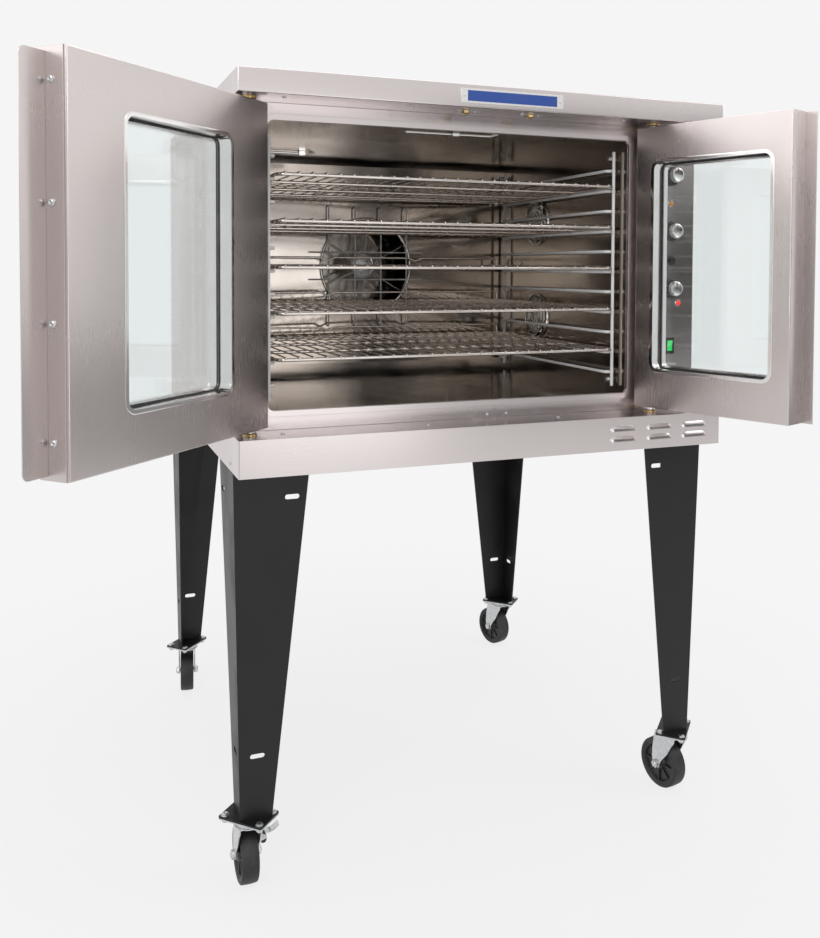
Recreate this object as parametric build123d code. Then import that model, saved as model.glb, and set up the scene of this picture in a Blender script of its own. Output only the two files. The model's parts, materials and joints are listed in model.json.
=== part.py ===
"""Full-size convection oven on a four-legged caster stand, in millimetres.

+X is the operator's right, +Y runs from the front to the back and +Z is up.
The origin is on the floor under the centre of the oven body.
The doors are modelled open, at the angles DOOR_OPEN gives.
"""
from build123d import *
from math import cos, radians, sin
import os

# ---------------------------------------------------------------- body
BODY_W = 968.0                  # over the side panels
BODY_D = 955.0                  # cowl front to back panel
BODY_H = 678.5                  # underside to top
STAND_H = 753.0                 # floor to the underside of the body
SHEET = 1.2                     # stainless sheet
COWL_D = 57.0                   # depth of the cowls' side returns
TOP_COWL_H = 40.7
BOTTOM_COWL_H = 64.2
FACE_SETBACK = 87.0             # cowl front to the face frame
LOUVRE_XS = (258.0, 340.0, 422.0)
LOUVRE_RISES = (43.0, 23.0)     # above the body's underside
LOUVRE_W = 58.0
LOUVRE_H = 11.0
LOUVRE_PROUD = 3.5
PLATE_X = (-87.4, 119.3)        # nameplate
PLATE_RISE = (645.0, 671.0)
FIT = 0.3                       # gap between pieces that only sit together
RUNNING = 0.05                  # radial clearance of a shaft in its hole

# ---------------------------------------------------------------- cavity
CAVITY_LEFT_MARGIN = 66.2       # body side to the cavity's left wall
CAVITY_W = 736.6
CAVITY_FLOOR_H = 99.0           # above the body's underside
CAVITY_H = 508.0
CAVITY_BACK_SETBACK = 755.0     # cowl front to the cavity's back wall
HEADER_LIP_H = 11.0             # width of the raised door seat round the opening
SEAT_GAP = 0.6                  # closed door to the door seat
SEAT_CORNER_R = 12.0
INSULATION_T = 45.0
LAMP_SETBACK = 459.0            # cowl front to the lamps on the right wall
LAMP_HEIGHTS = (460.0, 238.0)
LAMP_R = 55.0
LAMP_CAN_R = 42.0
LAMP_CAN_L = 50.0
LENS_PROUD = 13.0
# sensing bulbs under the ceiling: ends along X, setback and clip
BULBS = (((-155.0, 18.0), 100.0, -55.0), ((-380.0, -236.0), 500.0, -250.0))
BULB_R = 2.4
BULB_DROP = 4.0

# ---------------------------------------------------------------- fan and heat
BAFFLE_SETBACK = 647.0
BAFFLE_GAP_BOTTOM = 21.0
BAFFLE_GAP_TOP = 11.0
FAN_X = -51.0
FAN_H = 355.0                   # fan centre above the body's underside
FAN_INLET_D = 222.0
FAN_WHEEL_R = 150.0
FAN_BLADE_W = 42.0
FAN_BLADE_T = 2.0
FAN_BLADES = 6
FAN_HUB_R = 32.0
FAN_SHAFT_R = 8.0
GUARD_WIRE_D = 3.2
GUARD_STANDOFF = 14.0
GUARD_SPAN = 288.0
GUARD_PITCH = 66.0
GUARD_BEND = 7.0
WHEEL_FRONT_GAP = 12.0          # baffle to the fan wheel
MOTOR_R = 72.0
MOTOR_L = 120.0
MOTOR_FLANGE = 20.0             # flange's width round the motor
MOTOR_STANDOFF = 62.0           # cavity back wall to the motor flange
ELEMENT_R = 182.0
ELEMENT_TUBE_R = 4.0

# ---------------------------------------------------------------- racks
RACK_PITCH = 41.3
RUNNERS = 11
TOP_RUNNER_H = 550.6            # above the body's underside
RUNNER_INSET = 22.0             # wall to the centre of a runner
UPRIGHT_INSET = 10.2
GUIDE_WIRE_D = 6.35
FRONT_UPRIGHT_SETBACK = 120.0
REAR_UPRIGHT_SETBACK = 612.0
RACK_RUNNERS = (2, 4, 6, 8, 10)  # counted from the top
RACK_FRONT_SETBACK = 97.0
RACK_D = 528.0
RACK_FRAME_D = 6.35
RACK_WIRE_D = 3.2
RACK_WIRES = 27
RACK_STOP_H = 27.0
RACK_STOP_D = 5.0
WELD_BITE = 0.4                 # how far crossing wires sink into each other
RACK_TRAVEL_GAP = 0.3

# ---------------------------------------------------------------- doors
DOOR_T = 50.0
DOOR_GAP_TOP = 7.6
DOOR_GAP_BOTTOM = 10.7
HINGE_SETBACK = 54.0            # cowl front to the hinge axis
HINGE_EDGE = 20.0               # hinge axis to the pan's hinge-side edge
LEFT_HINGE_X = -455.0
RIGHT_HINGE_X = 356.0
LEFT_DOOR_W = 459.0
RIGHT_DOOR_W = 322.0
LEFT_OPEN = 135.3               # degrees from closed
RIGHT_OPEN = 110.6
WINDOW_W = 241.0
WINDOW_H = 406.0
WINDOW_RISE = 77.1              # pan's bottom edge to the window
LEFT_WINDOW_MARGIN = 107.0      # hinge-side edge to the window
RIGHT_WINDOW_MARGIN = 41.0
WINDOW_CORNER_R = 14.0
TRIM_FLANGE = 9.0
GLASS_T = 4.0
INNER_PANE_DEPTH = 24.0         # inner face to the inner pane
OUTER_PANE_DEPTH = 40.0
HANDLE_PROUD = 25.0
HANDLE_W = 24.0
HANDLE_WALL = 3.0
HANDLE_INSET = 10.0             # from the pan's top and bottom edges
HANDLE_CAP_T = 5.0
ASTRAGAL_DEPTH = 34.0           # inner face to the astragal's lip
ASTRAGAL_LIP = 44.0
ASTRAGAL_T = 1.6
ASTRAGAL_TOP_DROP = 6.0
ASTRAGAL_SCREWS = (588.0, 432.0, 277.0, 124.0)
SKIN_LIP = 20.0                 # right door's skin past its pan
PIN_R = 6.0
PIN_WASHER_R = 11.0
BUSH_R = 12.5
BUSH_SLEEVE_R = 8.5
BUSH_FLANGE_T = 3.0
STRIKE_T = 0.8
CATCH_XS = {"left": -60.0, "right": 72.0}
CATCH_SETBACK = 40.0
CATCH_BALL_R = 5.0
BRACKET_X = (-17.0, 49.0)       # strike bracket on the sill
BRACKET_T = 1.5
BRACKET_FOOT = 28.0

# ---------------------------------------------------------------- controls
PANEL_LEFT_X = 376.0
KNOB_X = 428.0
KNOB_HEIGHTS = {"thermostat_knob": 542.0, "timer_knob": 428.0, "fan_knob": 310.0}
KNOB_SKIRT_R = 21.0
KNOB_CAP_R = 15.0
KNOB_H = 24.0
KNOB_SHAFT_R = 3.0
SPINDLE_L = 26.0
CONTROL_BODY = 44.0
ROCKER_H = 192.0
ROCKER_SIZE = (12.0, 22.0)
ROCKER_WALL = 4.0
ROCKER_SWING_GAP = 2.0          # above and below the paddle
BUTTON_H = 369.0
BUTTON_R = 6.0
BUTTON_PROUD = 6.0
BUTTON_COLLAR = 3.0
POWER_LAMP = (428.0, 485.0)
HEAT_LAMP = (448.0, 280.0)
LAMP_LENS_R = 5.0
GLAND_X = 380.0                 # supply cable gland in the back panel
GLAND_RISE = 80.0
GLAND_R = 14.0
GLAND_BORE_R = 8.0
GLAND_L = 28.0

# ---------------------------------------------------------------- stand
LEG_H = 619.8
LEG_T = 3.0
LEG_TOP_W = 135.0
LEG_FOOT_W = 57.0
LEG_TOP_X = 483.0               # outer corner at the top, from the body centre
LEG_FOOT_X = 470.0
LEG_TOP_INSET = 59.0            # outer corner at the top, from the body's front or back
LEG_FOOT_INSET = 71.2
BACK_LEG_TOP_INSET = 15.0
BACK_LEG_FOOT_INSET = 27.0
SLOT_L = 26.0
SLOT_R = 4.5
UPPER_SLOT_DROP = 50.0          # body underside to the upper slots
LOWER_SLOT_DROP = 505.0
PLATE_L = 90.0
PLATE_W = 60.0
PLATE_T = 2.5
LEG_BOLT_R = 4.0
LEG_BOLT_HOLE_R = 4.5
LEG_BOLT_IN = 60.0              # bolts through the base, from the leg's outer corner
LEG_BOLT_OUT = 22.0
PIVOT_INSET = 19.3              # leg's outer corner to the swivel axis, along X and Y

# ---------------------------------------------------------------- casters
WHEEL_R = 50.8
WHEEL_W = 32.0
WHEEL_BORE_R = 5.0
TRAIL = 28.0
FORK_GAP = 2.0                  # wheel side to fork arm
FORK_T = 3.0
CROWN_R = 27.0
CROWN_H = 12.0
FORK_ROOF_DROP = 8.0             # swivel plate to the fork's roof, past the bolt ends
KINGPIN_R = 6.0
BRAKE_RISE = 30.0               # brake pin above the axle
BRAKE_PIN_R = 2.0
BRAKE_ARM = 9.0
BRAKE_CAM_L = 12.5               # brake pin to the cam's lower end
# direction from each swivel axis to its wheel, in degrees anticlockwise from +X
TRAIL_ANGLES = {"front_left": 90.0, "front_right": 100.0, "back_left": 82.0, "back_right": 105.0}

# ---------------------------------------------------------------- derived places
FRONT = -BODY_D / 2
BACK = BODY_D / 2
FACE_Y = FRONT + FACE_SETBACK
BASE = STAND_H
ROOF = BASE + BODY_H
TOP_COWL_Z = ROOF - TOP_COWL_H
BOTTOM_COWL_Z = BASE + BOTTOM_COWL_H
CAV_L = -BODY_W / 2 + CAVITY_LEFT_MARGIN
CAV_R = CAV_L + CAVITY_W
CAV_MID = (CAV_L + CAV_R) / 2
CAV_FLOOR = BASE + CAVITY_FLOOR_H
CAV_ROOF = CAV_FLOOR + CAVITY_H
CAV_BACK = FRONT + CAVITY_BACK_SETBACK
BAFFLE_Y = FRONT + BAFFLE_SETBACK
FAN_Z = BASE + FAN_H
DOOR_Z0 = BOTTOM_COWL_Z + DOOR_GAP_BOTTOM
DOOR_Z1 = TOP_COWL_Z - DOOR_GAP_TOP
HINGE_Y = FRONT + HINGE_SETBACK
DOOR_IN_Y = HINGE_Y + DOOR_T / 2
DOOR_OUT_Y = HINGE_Y - DOOR_T / 2
INNER_W = BODY_W / 2 - SHEET
CATCH_Y = FRONT + CATCH_SETBACK
GLAND_Z = BASE + GLAND_RISE

parts = {}


# ---------------------------------------------------------------- helpers
def block(x, y, z):
    """A box between two planes on each axis."""
    size = [hi - lo for lo, hi in (x, y, z)]
    mid = [(hi + lo) / 2 for lo, hi in (x, y, z)]
    return Pos(*mid) * Box(*size)


def rod(start, end, radius):
    """A round bar between two points."""
    start, end = Vector(*start), Vector(*end)
    plane = Plane(origin=start, z_dir=end - start)
    upright = (Align.CENTER, Align.CENTER, Align.MIN)
    return plane * Cylinder(radius, (end - start).length, align=upright)


def ring(start, end, outer, inner):
    """A tube between two points."""
    return rod(start, end, outer) - rod(start, end, inner)


def bent_wire(points, diameter, bend):
    """A round wire along straight runs joined by arcs."""
    path = FilletPolyline(*points, radius=bend)
    return sweep(Plane(origin=path @ 0, z_dir=path % 0) * Circle(diameter / 2), path=path)


def rounded_panel(x, y, z, corner):
    """A plate facing Y, with rounded corners."""
    outline = RectangleRounded(x[1] - x[0], z[1] - z[0], corner)
    plane = Plane(origin=((x[0] + x[1]) / 2, y[0], (z[0] + z[1]) / 2), x_dir=(1, 0, 0), z_dir=(0, 1, 0))
    return plane * extrude(outline, y[1] - y[0])


def plate_across_x(points, x0, x1):
    """A plate between two X planes, with its (y, z) outline."""
    return extrude(Plane.YZ.offset(x0) * Polygon(*points, align=None), x1 - x0, dir=(1, 0, 0))


def plate_across_y(points, y0, y1):
    """A plate between two Y planes, with its (x, z) outline."""
    return extrude(Plane.XZ.offset(-y0) * Polygon(*points, align=None), y1 - y0, dir=(0, 1, 0))


def plate_across_z(points, z0, z1):
    """A plate between two Z planes, with its (x, y) outline."""
    return extrude(Plane.XY.offset(z0) * Polygon(*points, align=None), z1 - z0, dir=(0, 0, 1))


def union(pieces):
    """One solid from pieces that meet."""
    whole = pieces[0]
    for piece in pieces[1:]:
        whole = whole + piece
    return whole


def add(name, *pieces):
    """Put separate solids in a node."""
    solids = []
    for piece in pieces:
        solids += list(piece.solids())
    parts.setdefault(name, []).extend(solids)


# ---------------------------------------------------------------- cowls and casing
def cowl(z0, z1, inner_flange_z):
    """A shallow folded tray across the front, open at the back, with a flange back to the face."""
    side = BODY_W / 2
    shell = block((-side, side), (FRONT, FRONT + COWL_D), (z0, z1))
    shell = fillet(shell.edges().group_by(Axis.Y)[0], 2.0)
    shell -= block((-INNER_W, INNER_W), (FRONT + SHEET, FRONT + COWL_D + 1), (z0 + SHEET, z1 - SHEET))
    flange = block((-INNER_W, INNER_W), (FRONT + COWL_D, FACE_Y), inner_flange_z)
    return shell + flange


def make_cowls():
    top = cowl(TOP_COWL_Z, ROOF, (TOP_COWL_Z, TOP_COWL_Z + SHEET))
    for hinge_x in (LEFT_HINGE_X, RIGHT_HINGE_X):
        top -= rod((hinge_x, HINGE_Y, TOP_COWL_Z - 1), (hinge_x, HINGE_Y, TOP_COWL_Z + 2 * SHEET), BUSH_SLEEVE_R + FIT)
    add("top_cowl", top)
    bottom = cowl(BASE, BOTTOM_COWL_Z, (BOTTOM_COWL_Z - SHEET, BOTTOM_COWL_Z))
    for hinge_x in (LEFT_HINGE_X, RIGHT_HINGE_X):
        bottom -= rod((hinge_x, HINGE_Y, BOTTOM_COWL_Z - 2 * SHEET), (hinge_x, HINGE_Y, BOTTOM_COWL_Z + 1),
                      BUSH_SLEEVE_R + FIT)
    for x in LOUVRE_XS:
        for rise in LOUVRE_RISES:
            z = BASE + rise
            half = LOUVRE_W / 2
            profile = [(FRONT + SHEET, z + LOUVRE_H / 2), (FRONT + SHEET, z - LOUVRE_H / 2),
                       (FRONT - LOUVRE_PROUD, z - LOUVRE_H / 2)]
            hood = plate_across_x(profile, x - half, x + half)
            throat = block((x - half + 2, x + half - 2), (FRONT - LOUVRE_PROUD + SHEET, FRONT + 2 * SHEET),
                           (z - LOUVRE_H / 2 - 1, z - LOUVRE_H / 2 + 4))
            bottom = bottom + hood - throat
    add("bottom_cowl", bottom)


def make_casing():
    for name, x in (("left_side_panel", (-BODY_W / 2, -INNER_W)), ("right_side_panel", (INNER_W, BODY_W / 2))):
        panel = block(x, (FRONT + COWL_D, BACK), (BASE, ROOF - SHEET))
        panel -= block((x[0] - 1, x[1] + 1), (FRONT, FACE_Y), (BOTTOM_COWL_Z, TOP_COWL_Z))
        add(name, panel)
    add("top_panel", block((-BODY_W / 2, BODY_W / 2), (FRONT + COWL_D, BACK), (ROOF - SHEET, ROOF)))
    back = block((-INNER_W, INNER_W), (BACK - SHEET, BACK), (BASE + SHEET, ROOF - SHEET))
    slots = [block((x - 40, x + 40), (BACK - 2 * SHEET, BACK + 1), (FAN_Z + dz - 3, FAN_Z + dz + 3))
             for x in (FAN_X - 55, FAN_X + 55) for dz in range(-60, 61, 24)]
    for slot in slots:
        back -= slot
    back -= rod((GLAND_X, BACK - 2 * SHEET, GLAND_Z), (GLAND_X, BACK + 1, GLAND_Z), GLAND_R + FIT)
    add("back_panel", back)
    base = block((-INNER_W, INNER_W), (FRONT + COWL_D, BACK), (BASE, BASE + SHEET))
    for x, y in leg_bolt_places():
        base -= rod((x, y, BASE - 1), (x, y, BASE + 2 * SHEET), LEG_BOLT_HOLE_R)
    add("base_pan", base)


def make_face():
    """Header, sill, two uprights and the raised seat that the doors close against."""
    y = (FACE_Y, FACE_Y + SHEET)
    header = block((-INNER_W, PANEL_LEFT_X), y, (CAV_ROOF, TOP_COWL_Z))
    sill = block((-INNER_W, PANEL_LEFT_X), y, (BOTTOM_COWL_Z, CAV_FLOOR))
    left = block((-INNER_W, CAV_L), y, (CAV_FLOOR, CAV_ROOF))
    right = block((CAV_R, PANEL_LEFT_X), y, (CAV_FLOOR, CAV_ROOF))
    lip = HEADER_LIP_H
    seat_y = (DOOR_IN_Y + SEAT_GAP, FACE_Y)
    seat = rounded_panel((CAV_L - lip, CAV_R + lip), seat_y, (CAV_FLOOR - lip, CAV_ROOF + lip), SEAT_CORNER_R + lip)
    seat -= rounded_panel((CAV_L, CAV_R), (seat_y[0] - 1, seat_y[1] + 1), (CAV_FLOOR, CAV_ROOF), SEAT_CORNER_R)
    add("front_frame", header, sill, left, right, seat)


def make_control_panel():
    plate = block((PANEL_LEFT_X, INNER_W), (FACE_Y, FACE_Y + SHEET), (BOTTOM_COWL_Z, TOP_COWL_Z))
    through = (FACE_Y - 1, FACE_Y + 2 * SHEET)

    def hole(x, rise, radius):
        return rod((x, through[0], BASE + rise), (x, through[1], BASE + rise), radius)

    for rise in KNOB_HEIGHTS.values():
        plate -= hole(KNOB_X, rise, KNOB_SHAFT_R + RUNNING)
    plate -= hole(KNOB_X, BUTTON_H, BUTTON_R + BUTTON_COLLAR)
    for x, rise in (POWER_LAMP, HEAT_LAMP):
        plate -= hole(x, rise, LAMP_LENS_R)
    half_w = ROCKER_SIZE[0] / 2 + FIT + ROCKER_WALL - 1
    half_h = ROCKER_SIZE[1] / 2 + ROCKER_SWING_GAP + ROCKER_WALL - 1
    plate -= block((KNOB_X - half_w, KNOB_X + half_w), through, (BASE + ROCKER_H - half_h, BASE + ROCKER_H + half_h))
    add("control_panel", plate)


# ---------------------------------------------------------------- cavity
def lamp_axis(rise, x0, x1, radius):
    y, z = FRONT + LAMP_SETBACK, BASE + rise
    return rod((x0, y, z), (x1, y, z), radius)


def make_cavity():
    y = (FACE_Y + SHEET, CAV_BACK)
    z = (CAV_FLOOR, CAV_ROOF)
    left = block((CAV_L - SHEET, CAV_L), y, z)
    right = block((CAV_R, CAV_R + SHEET), y, z)
    for rise in LAMP_HEIGHTS:
        right -= lamp_axis(rise, CAV_R - 1, CAV_R + 2 * SHEET, LAMP_CAN_R)
    wide = (CAV_L - SHEET, CAV_R + SHEET)
    floor = block(wide, y, (CAV_FLOOR - SHEET, CAV_FLOOR))
    ceiling = block(wide, y, (CAV_ROOF, CAV_ROOF + SHEET))
    back = block(wide, (CAV_BACK, CAV_BACK + SHEET), (CAV_FLOOR - SHEET, CAV_ROOF + SHEET))
    back -= rod((FAN_X, CAV_BACK - 1, FAN_Z), (FAN_X, CAV_BACK + 2 * SHEET, FAN_Z), FAN_SHAFT_R + 2)
    add("cavity_liner", left, right, floor, ceiling, back)

    gap = FIT
    left_slab = block((CAV_L - SHEET - gap - INSULATION_T, CAV_L - SHEET - gap), y, z)
    right_slab = block((CAV_R + SHEET + gap, CAV_R + SHEET + gap + INSULATION_T), y, z)
    for rise in LAMP_HEIGHTS:
        right_slab -= lamp_axis(rise, CAV_R, PANEL_LEFT_X, LAMP_CAN_R + 2)
    under = block(wide, y, (CAV_FLOOR - SHEET - gap - INSULATION_T, CAV_FLOOR - SHEET - gap))
    over = block(wide, y, (CAV_ROOF + SHEET + gap, CAV_ROOF + SHEET + gap + INSULATION_T))
    behind = block(wide, (CAV_BACK + SHEET + gap, CAV_BACK + SHEET + gap + INSULATION_T), z)
    behind -= rod((FAN_X, CAV_BACK, FAN_Z), (FAN_X, BACK, FAN_Z), MOTOR_R + MOTOR_FLANGE)
    add("insulation", left_slab, right_slab, under, over, behind)


def make_lamps():
    """Ribbed glass covers on the right wall, each with a bezel and a lamp can behind the wall."""
    for rise in LAMP_HEIGHTS:
        cover = lamp_axis(rise, CAV_R - LENS_PROUD, CAV_R - 3, LAMP_R - 4)
        face = cover.faces().sort_by(Axis.X)[0]
        cover = fillet(face.edges(), 6.0)
        bezel = lamp_axis(rise, CAV_R - 3, CAV_R, LAMP_R)
        can = lamp_axis(rise, CAV_R, CAV_R + LAMP_CAN_L, LAMP_CAN_R - FIT)
        can -= lamp_axis(rise, CAV_R - 1, CAV_R + LAMP_CAN_L - SHEET, LAMP_CAN_R - FIT - SHEET)
        add("oven_lamps", cover, bezel, can)


# ---------------------------------------------------------------- fan and heat
def make_baffle():
    plate = block((CAV_L + FIT, CAV_R - FIT), (BAFFLE_Y, BAFFLE_Y + SHEET),
                  (CAV_FLOOR + BAFFLE_GAP_BOTTOM, CAV_ROOF - BAFFLE_GAP_TOP))
    rim = ring((FAN_X, BAFFLE_Y, FAN_Z), (FAN_X, BAFFLE_Y + 8, FAN_Z), FAN_INLET_D / 2 + SHEET, FAN_INLET_D / 2)
    plate = plate + rim
    plate -= rod((FAN_X, BAFFLE_Y - 1, FAN_Z), (FAN_X, BAFFLE_Y + 10, FAN_Z), FAN_INLET_D / 2)
    add("baffle_panel", plate)


def make_fan_guard():
    """Wires that stand off the baffle across the fan inlet, with their ends bent back to it."""
    half = GUARD_SPAN / 2
    upright_y = BAFFLE_Y - GUARD_STANDOFF
    level_y = upright_y + GUARD_WIRE_D + RUNNING
    for x in (-1.5, -0.5, 0.5, 1.5):
        wire_x = FAN_X + x * GUARD_PITCH
        points = [(wire_x, BAFFLE_Y, FAN_Z - half), (wire_x, upright_y, FAN_Z - half),
                  (wire_x, upright_y, FAN_Z + half), (wire_x, BAFFLE_Y, FAN_Z + half)]
        add("fan_guard", bent_wire(points, GUARD_WIRE_D, GUARD_BEND))
    for rise in (-0.5, 0.5):
        wire_z = FAN_Z + rise * GUARD_PITCH
        points = [(FAN_X - half, BAFFLE_Y, wire_z), (FAN_X - half, level_y, wire_z),
                  (FAN_X + half, level_y, wire_z), (FAN_X + half, BAFFLE_Y, wire_z)]
        add("fan_guard", bent_wire(points, GUARD_WIRE_D, GUARD_BEND))


def make_fan():
    """Six flat blades on a hub, with the motor shaft through the cavity's back wall."""
    front = BAFFLE_Y + SHEET + WHEEL_FRONT_GAP
    hub = ring((FAN_X, front, FAN_Z), (FAN_X, front + 10, FAN_Z), FAN_HUB_R, FAN_HUB_R - 6)
    disc = rod((FAN_X, front + 8, FAN_Z), (FAN_X, front + 12, FAN_Z), FAN_HUB_R)
    cap = rod((FAN_X, front - 2, FAN_Z), (FAN_X, front + 10, FAN_Z), FAN_SHAFT_R + 5)
    flange_y = CAV_BACK + SHEET + MOTOR_STANDOFF
    shaft = rod((FAN_X, front + 10, FAN_Z), (FAN_X, flange_y + 40, FAN_Z), FAN_SHAFT_R)
    pieces = [hub, disc, cap, shaft]
    for i in range(FAN_BLADES):
        blade = block((FAN_HUB_R - 3, FAN_WHEEL_R), (front, front + FAN_BLADE_W), (-FAN_BLADE_T / 2, FAN_BLADE_T / 2))
        turn = Pos(FAN_X, 0, FAN_Z) * Rot(0, 30 + i * 360 / FAN_BLADES, 0)
        pieces.append(turn * blade)
    rim_y = front + FAN_BLADE_W
    pieces.append(ring((FAN_X, rim_y - 2, FAN_Z), (FAN_X, rim_y, FAN_Z), FAN_WHEEL_R, FAN_WHEEL_R - 22))
    add("fan_wheel", union(pieces))

    bore = rod((FAN_X, CAV_BACK, FAN_Z), (FAN_X, flange_y + 41, FAN_Z), FAN_SHAFT_R + RUNNING)
    flange = rod((FAN_X, flange_y, FAN_Z), (FAN_X, flange_y + 4, FAN_Z), MOTOR_R + MOTOR_FLANGE) - bore
    body = rod((FAN_X, flange_y + 4, FAN_Z), (FAN_X, flange_y + 4 + MOTOR_L, FAN_Z), MOTOR_R)
    body = fillet(body.faces().sort_by(Axis.Y)[-1].edges(), 8.0) - bore
    add("blower_motor", flange, body)
    for i in range(4):
        angle = radians(45 + 90 * i)
        x = FAN_X + (MOTOR_R + MOTOR_FLANGE / 2) * cos(angle)
        z = FAN_Z + (MOTOR_R + MOTOR_FLANGE / 2) * sin(angle)
        add("blower_motor", rod((x, CAV_BACK + SHEET, z), (x, flange_y, z), 4.0))


def make_element():
    """Two tubular rings round the fan wheel, on clips from the cavity's back wall."""
    front = BAFFLE_Y + SHEET + WHEEL_FRONT_GAP
    levels = (front + 10, front + 30)
    for y in levels:
        add("heating_element", Pos(FAN_X, y, FAN_Z) * Rot(90, 0, 0) * Torus(ELEMENT_R, ELEMENT_TUBE_R))
    post_r = 3.0
    reach = ELEMENT_R + ELEMENT_TUBE_R + RUNNING + post_r
    for angle in (30, 150, 270):
        x = FAN_X + reach * cos(radians(angle))
        z = FAN_Z + reach * sin(radians(angle))
        add("heating_element", rod((x, levels[0] - 6, z), (x, CAV_BACK, z), post_r))


# ---------------------------------------------------------------- rack guides
def make_rack_guides():
    """On each wall, two uprights that carry eleven runners bent round them, hung on studs."""
    front_y = FRONT + FRONT_UPRIGHT_SETBACK
    rear_y = FRONT + REAR_UPRIGHT_SETBACK
    low = BASE + TOP_RUNNER_H - (RUNNERS - 1) * RACK_PITCH - 28
    high = BASE + TOP_RUNNER_H + 38
    step = GUIDE_WIRE_D + RUNNING
    name = "rack_guides"
    for wall, inward in ((CAV_L, 1), (CAV_R, -1)):
        upright_x = wall + inward * UPRIGHT_INSET
        runner_x = wall + inward * RUNNER_INSET
        stub_x = wall + inward * 3.5
        for y in (front_y, rear_y):
            add(name, rod((upright_x, y, low), (upright_x, y, high), GUIDE_WIRE_D / 2))
            for z in (low + 12, high - 12):
                stud = rod((wall, y + 2 * step, z), (upright_x, y + 2 * step, z), 4.0)
                strap = block(sorted((upright_x, upright_x + inward * 2)),
                              (y + GUIDE_WIRE_D / 2 + RUNNING, y + 2 * step + 7), (z - 7, z + 7))
                add(name, stud, strap)
        for k in range(RUNNERS):
            z = BASE + TOP_RUNNER_H - k * RACK_PITCH
            points = [(stub_x, front_y + step, z), (runner_x, front_y + step, z),
                      (runner_x, rear_y - step, z), (stub_x, rear_y - step, z)]
            add(name, bent_wire(points, GUIDE_WIRE_D, 8.0))


# ---------------------------------------------------------------- racks
def rack_shape():
    """One welded wire rack with its bar centres at Z 0, centred on X 0, front bar at Y 0."""
    half_w = CAVITY_W / 2 - RUNNER_INSET
    radius = RACK_FRAME_D / 2
    depth = RACK_D - RACK_FRAME_D
    corner = 14.0
    loop = Pos(0, depth / 2, 0) * RectangleRounded(2 * half_w, depth, corner).wire()
    start = loop @ 0
    frame = sweep(Plane(origin=start, z_dir=loop % 0) * Circle(radius), path=loop)
    pieces = [frame]
    for share in (0.3, 0.62, 0.9):
        y = depth * share
        pieces.append(rod((-half_w, y, 0), (half_w, y, 0), radius))
    wire_r = RACK_WIRE_D / 2
    wire_z = radius + wire_r - WELD_BITE
    pitch = 2 * (half_w - corner) / (RACK_WIRES - 1)
    for i in range(RACK_WIRES):
        x = -half_w + corner + i * pitch
        pieces.append(rod((x, -radius + 0.5, wire_z), (x, depth + radius - 0.5, wire_z), wire_r))
    grid = union(pieces)
    stop_y = depth - 16
    foot = wire_z + wire_r + RUNNING
    crest = RACK_STOP_H - radius
    inner = half_w - corner
    dip = 16
    points = [(-inner, stop_y, foot), (-inner, stop_y, crest), (-inner / 3 - dip, stop_y, crest),
              (-inner / 3, stop_y, crest - dip / 2), (-inner / 3 + dip, stop_y, crest),
              (inner / 3 - dip, stop_y, crest), (inner / 3, stop_y, crest - dip / 2),
              (inner / 3 + dip, stop_y, crest), (inner, stop_y, crest), (inner, stop_y, foot)]
    stop = bent_wire(points, RACK_STOP_D, 4.0)
    return grid, stop


def make_racks():
    grid, stop = rack_shape()
    lift = (GUIDE_WIRE_D + RACK_FRAME_D) / 2 + RACK_TRAVEL_GAP
    for number, runner in enumerate(RACK_RUNNERS, start=1):
        z = BASE + TOP_RUNNER_H - (runner - 1) * RACK_PITCH + lift
        place = Pos(CAV_MID, FRONT + RACK_FRONT_SETBACK + RACK_FRAME_D / 2, z)
        add(f"rack_{number}", place * grid, place * stop)


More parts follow.
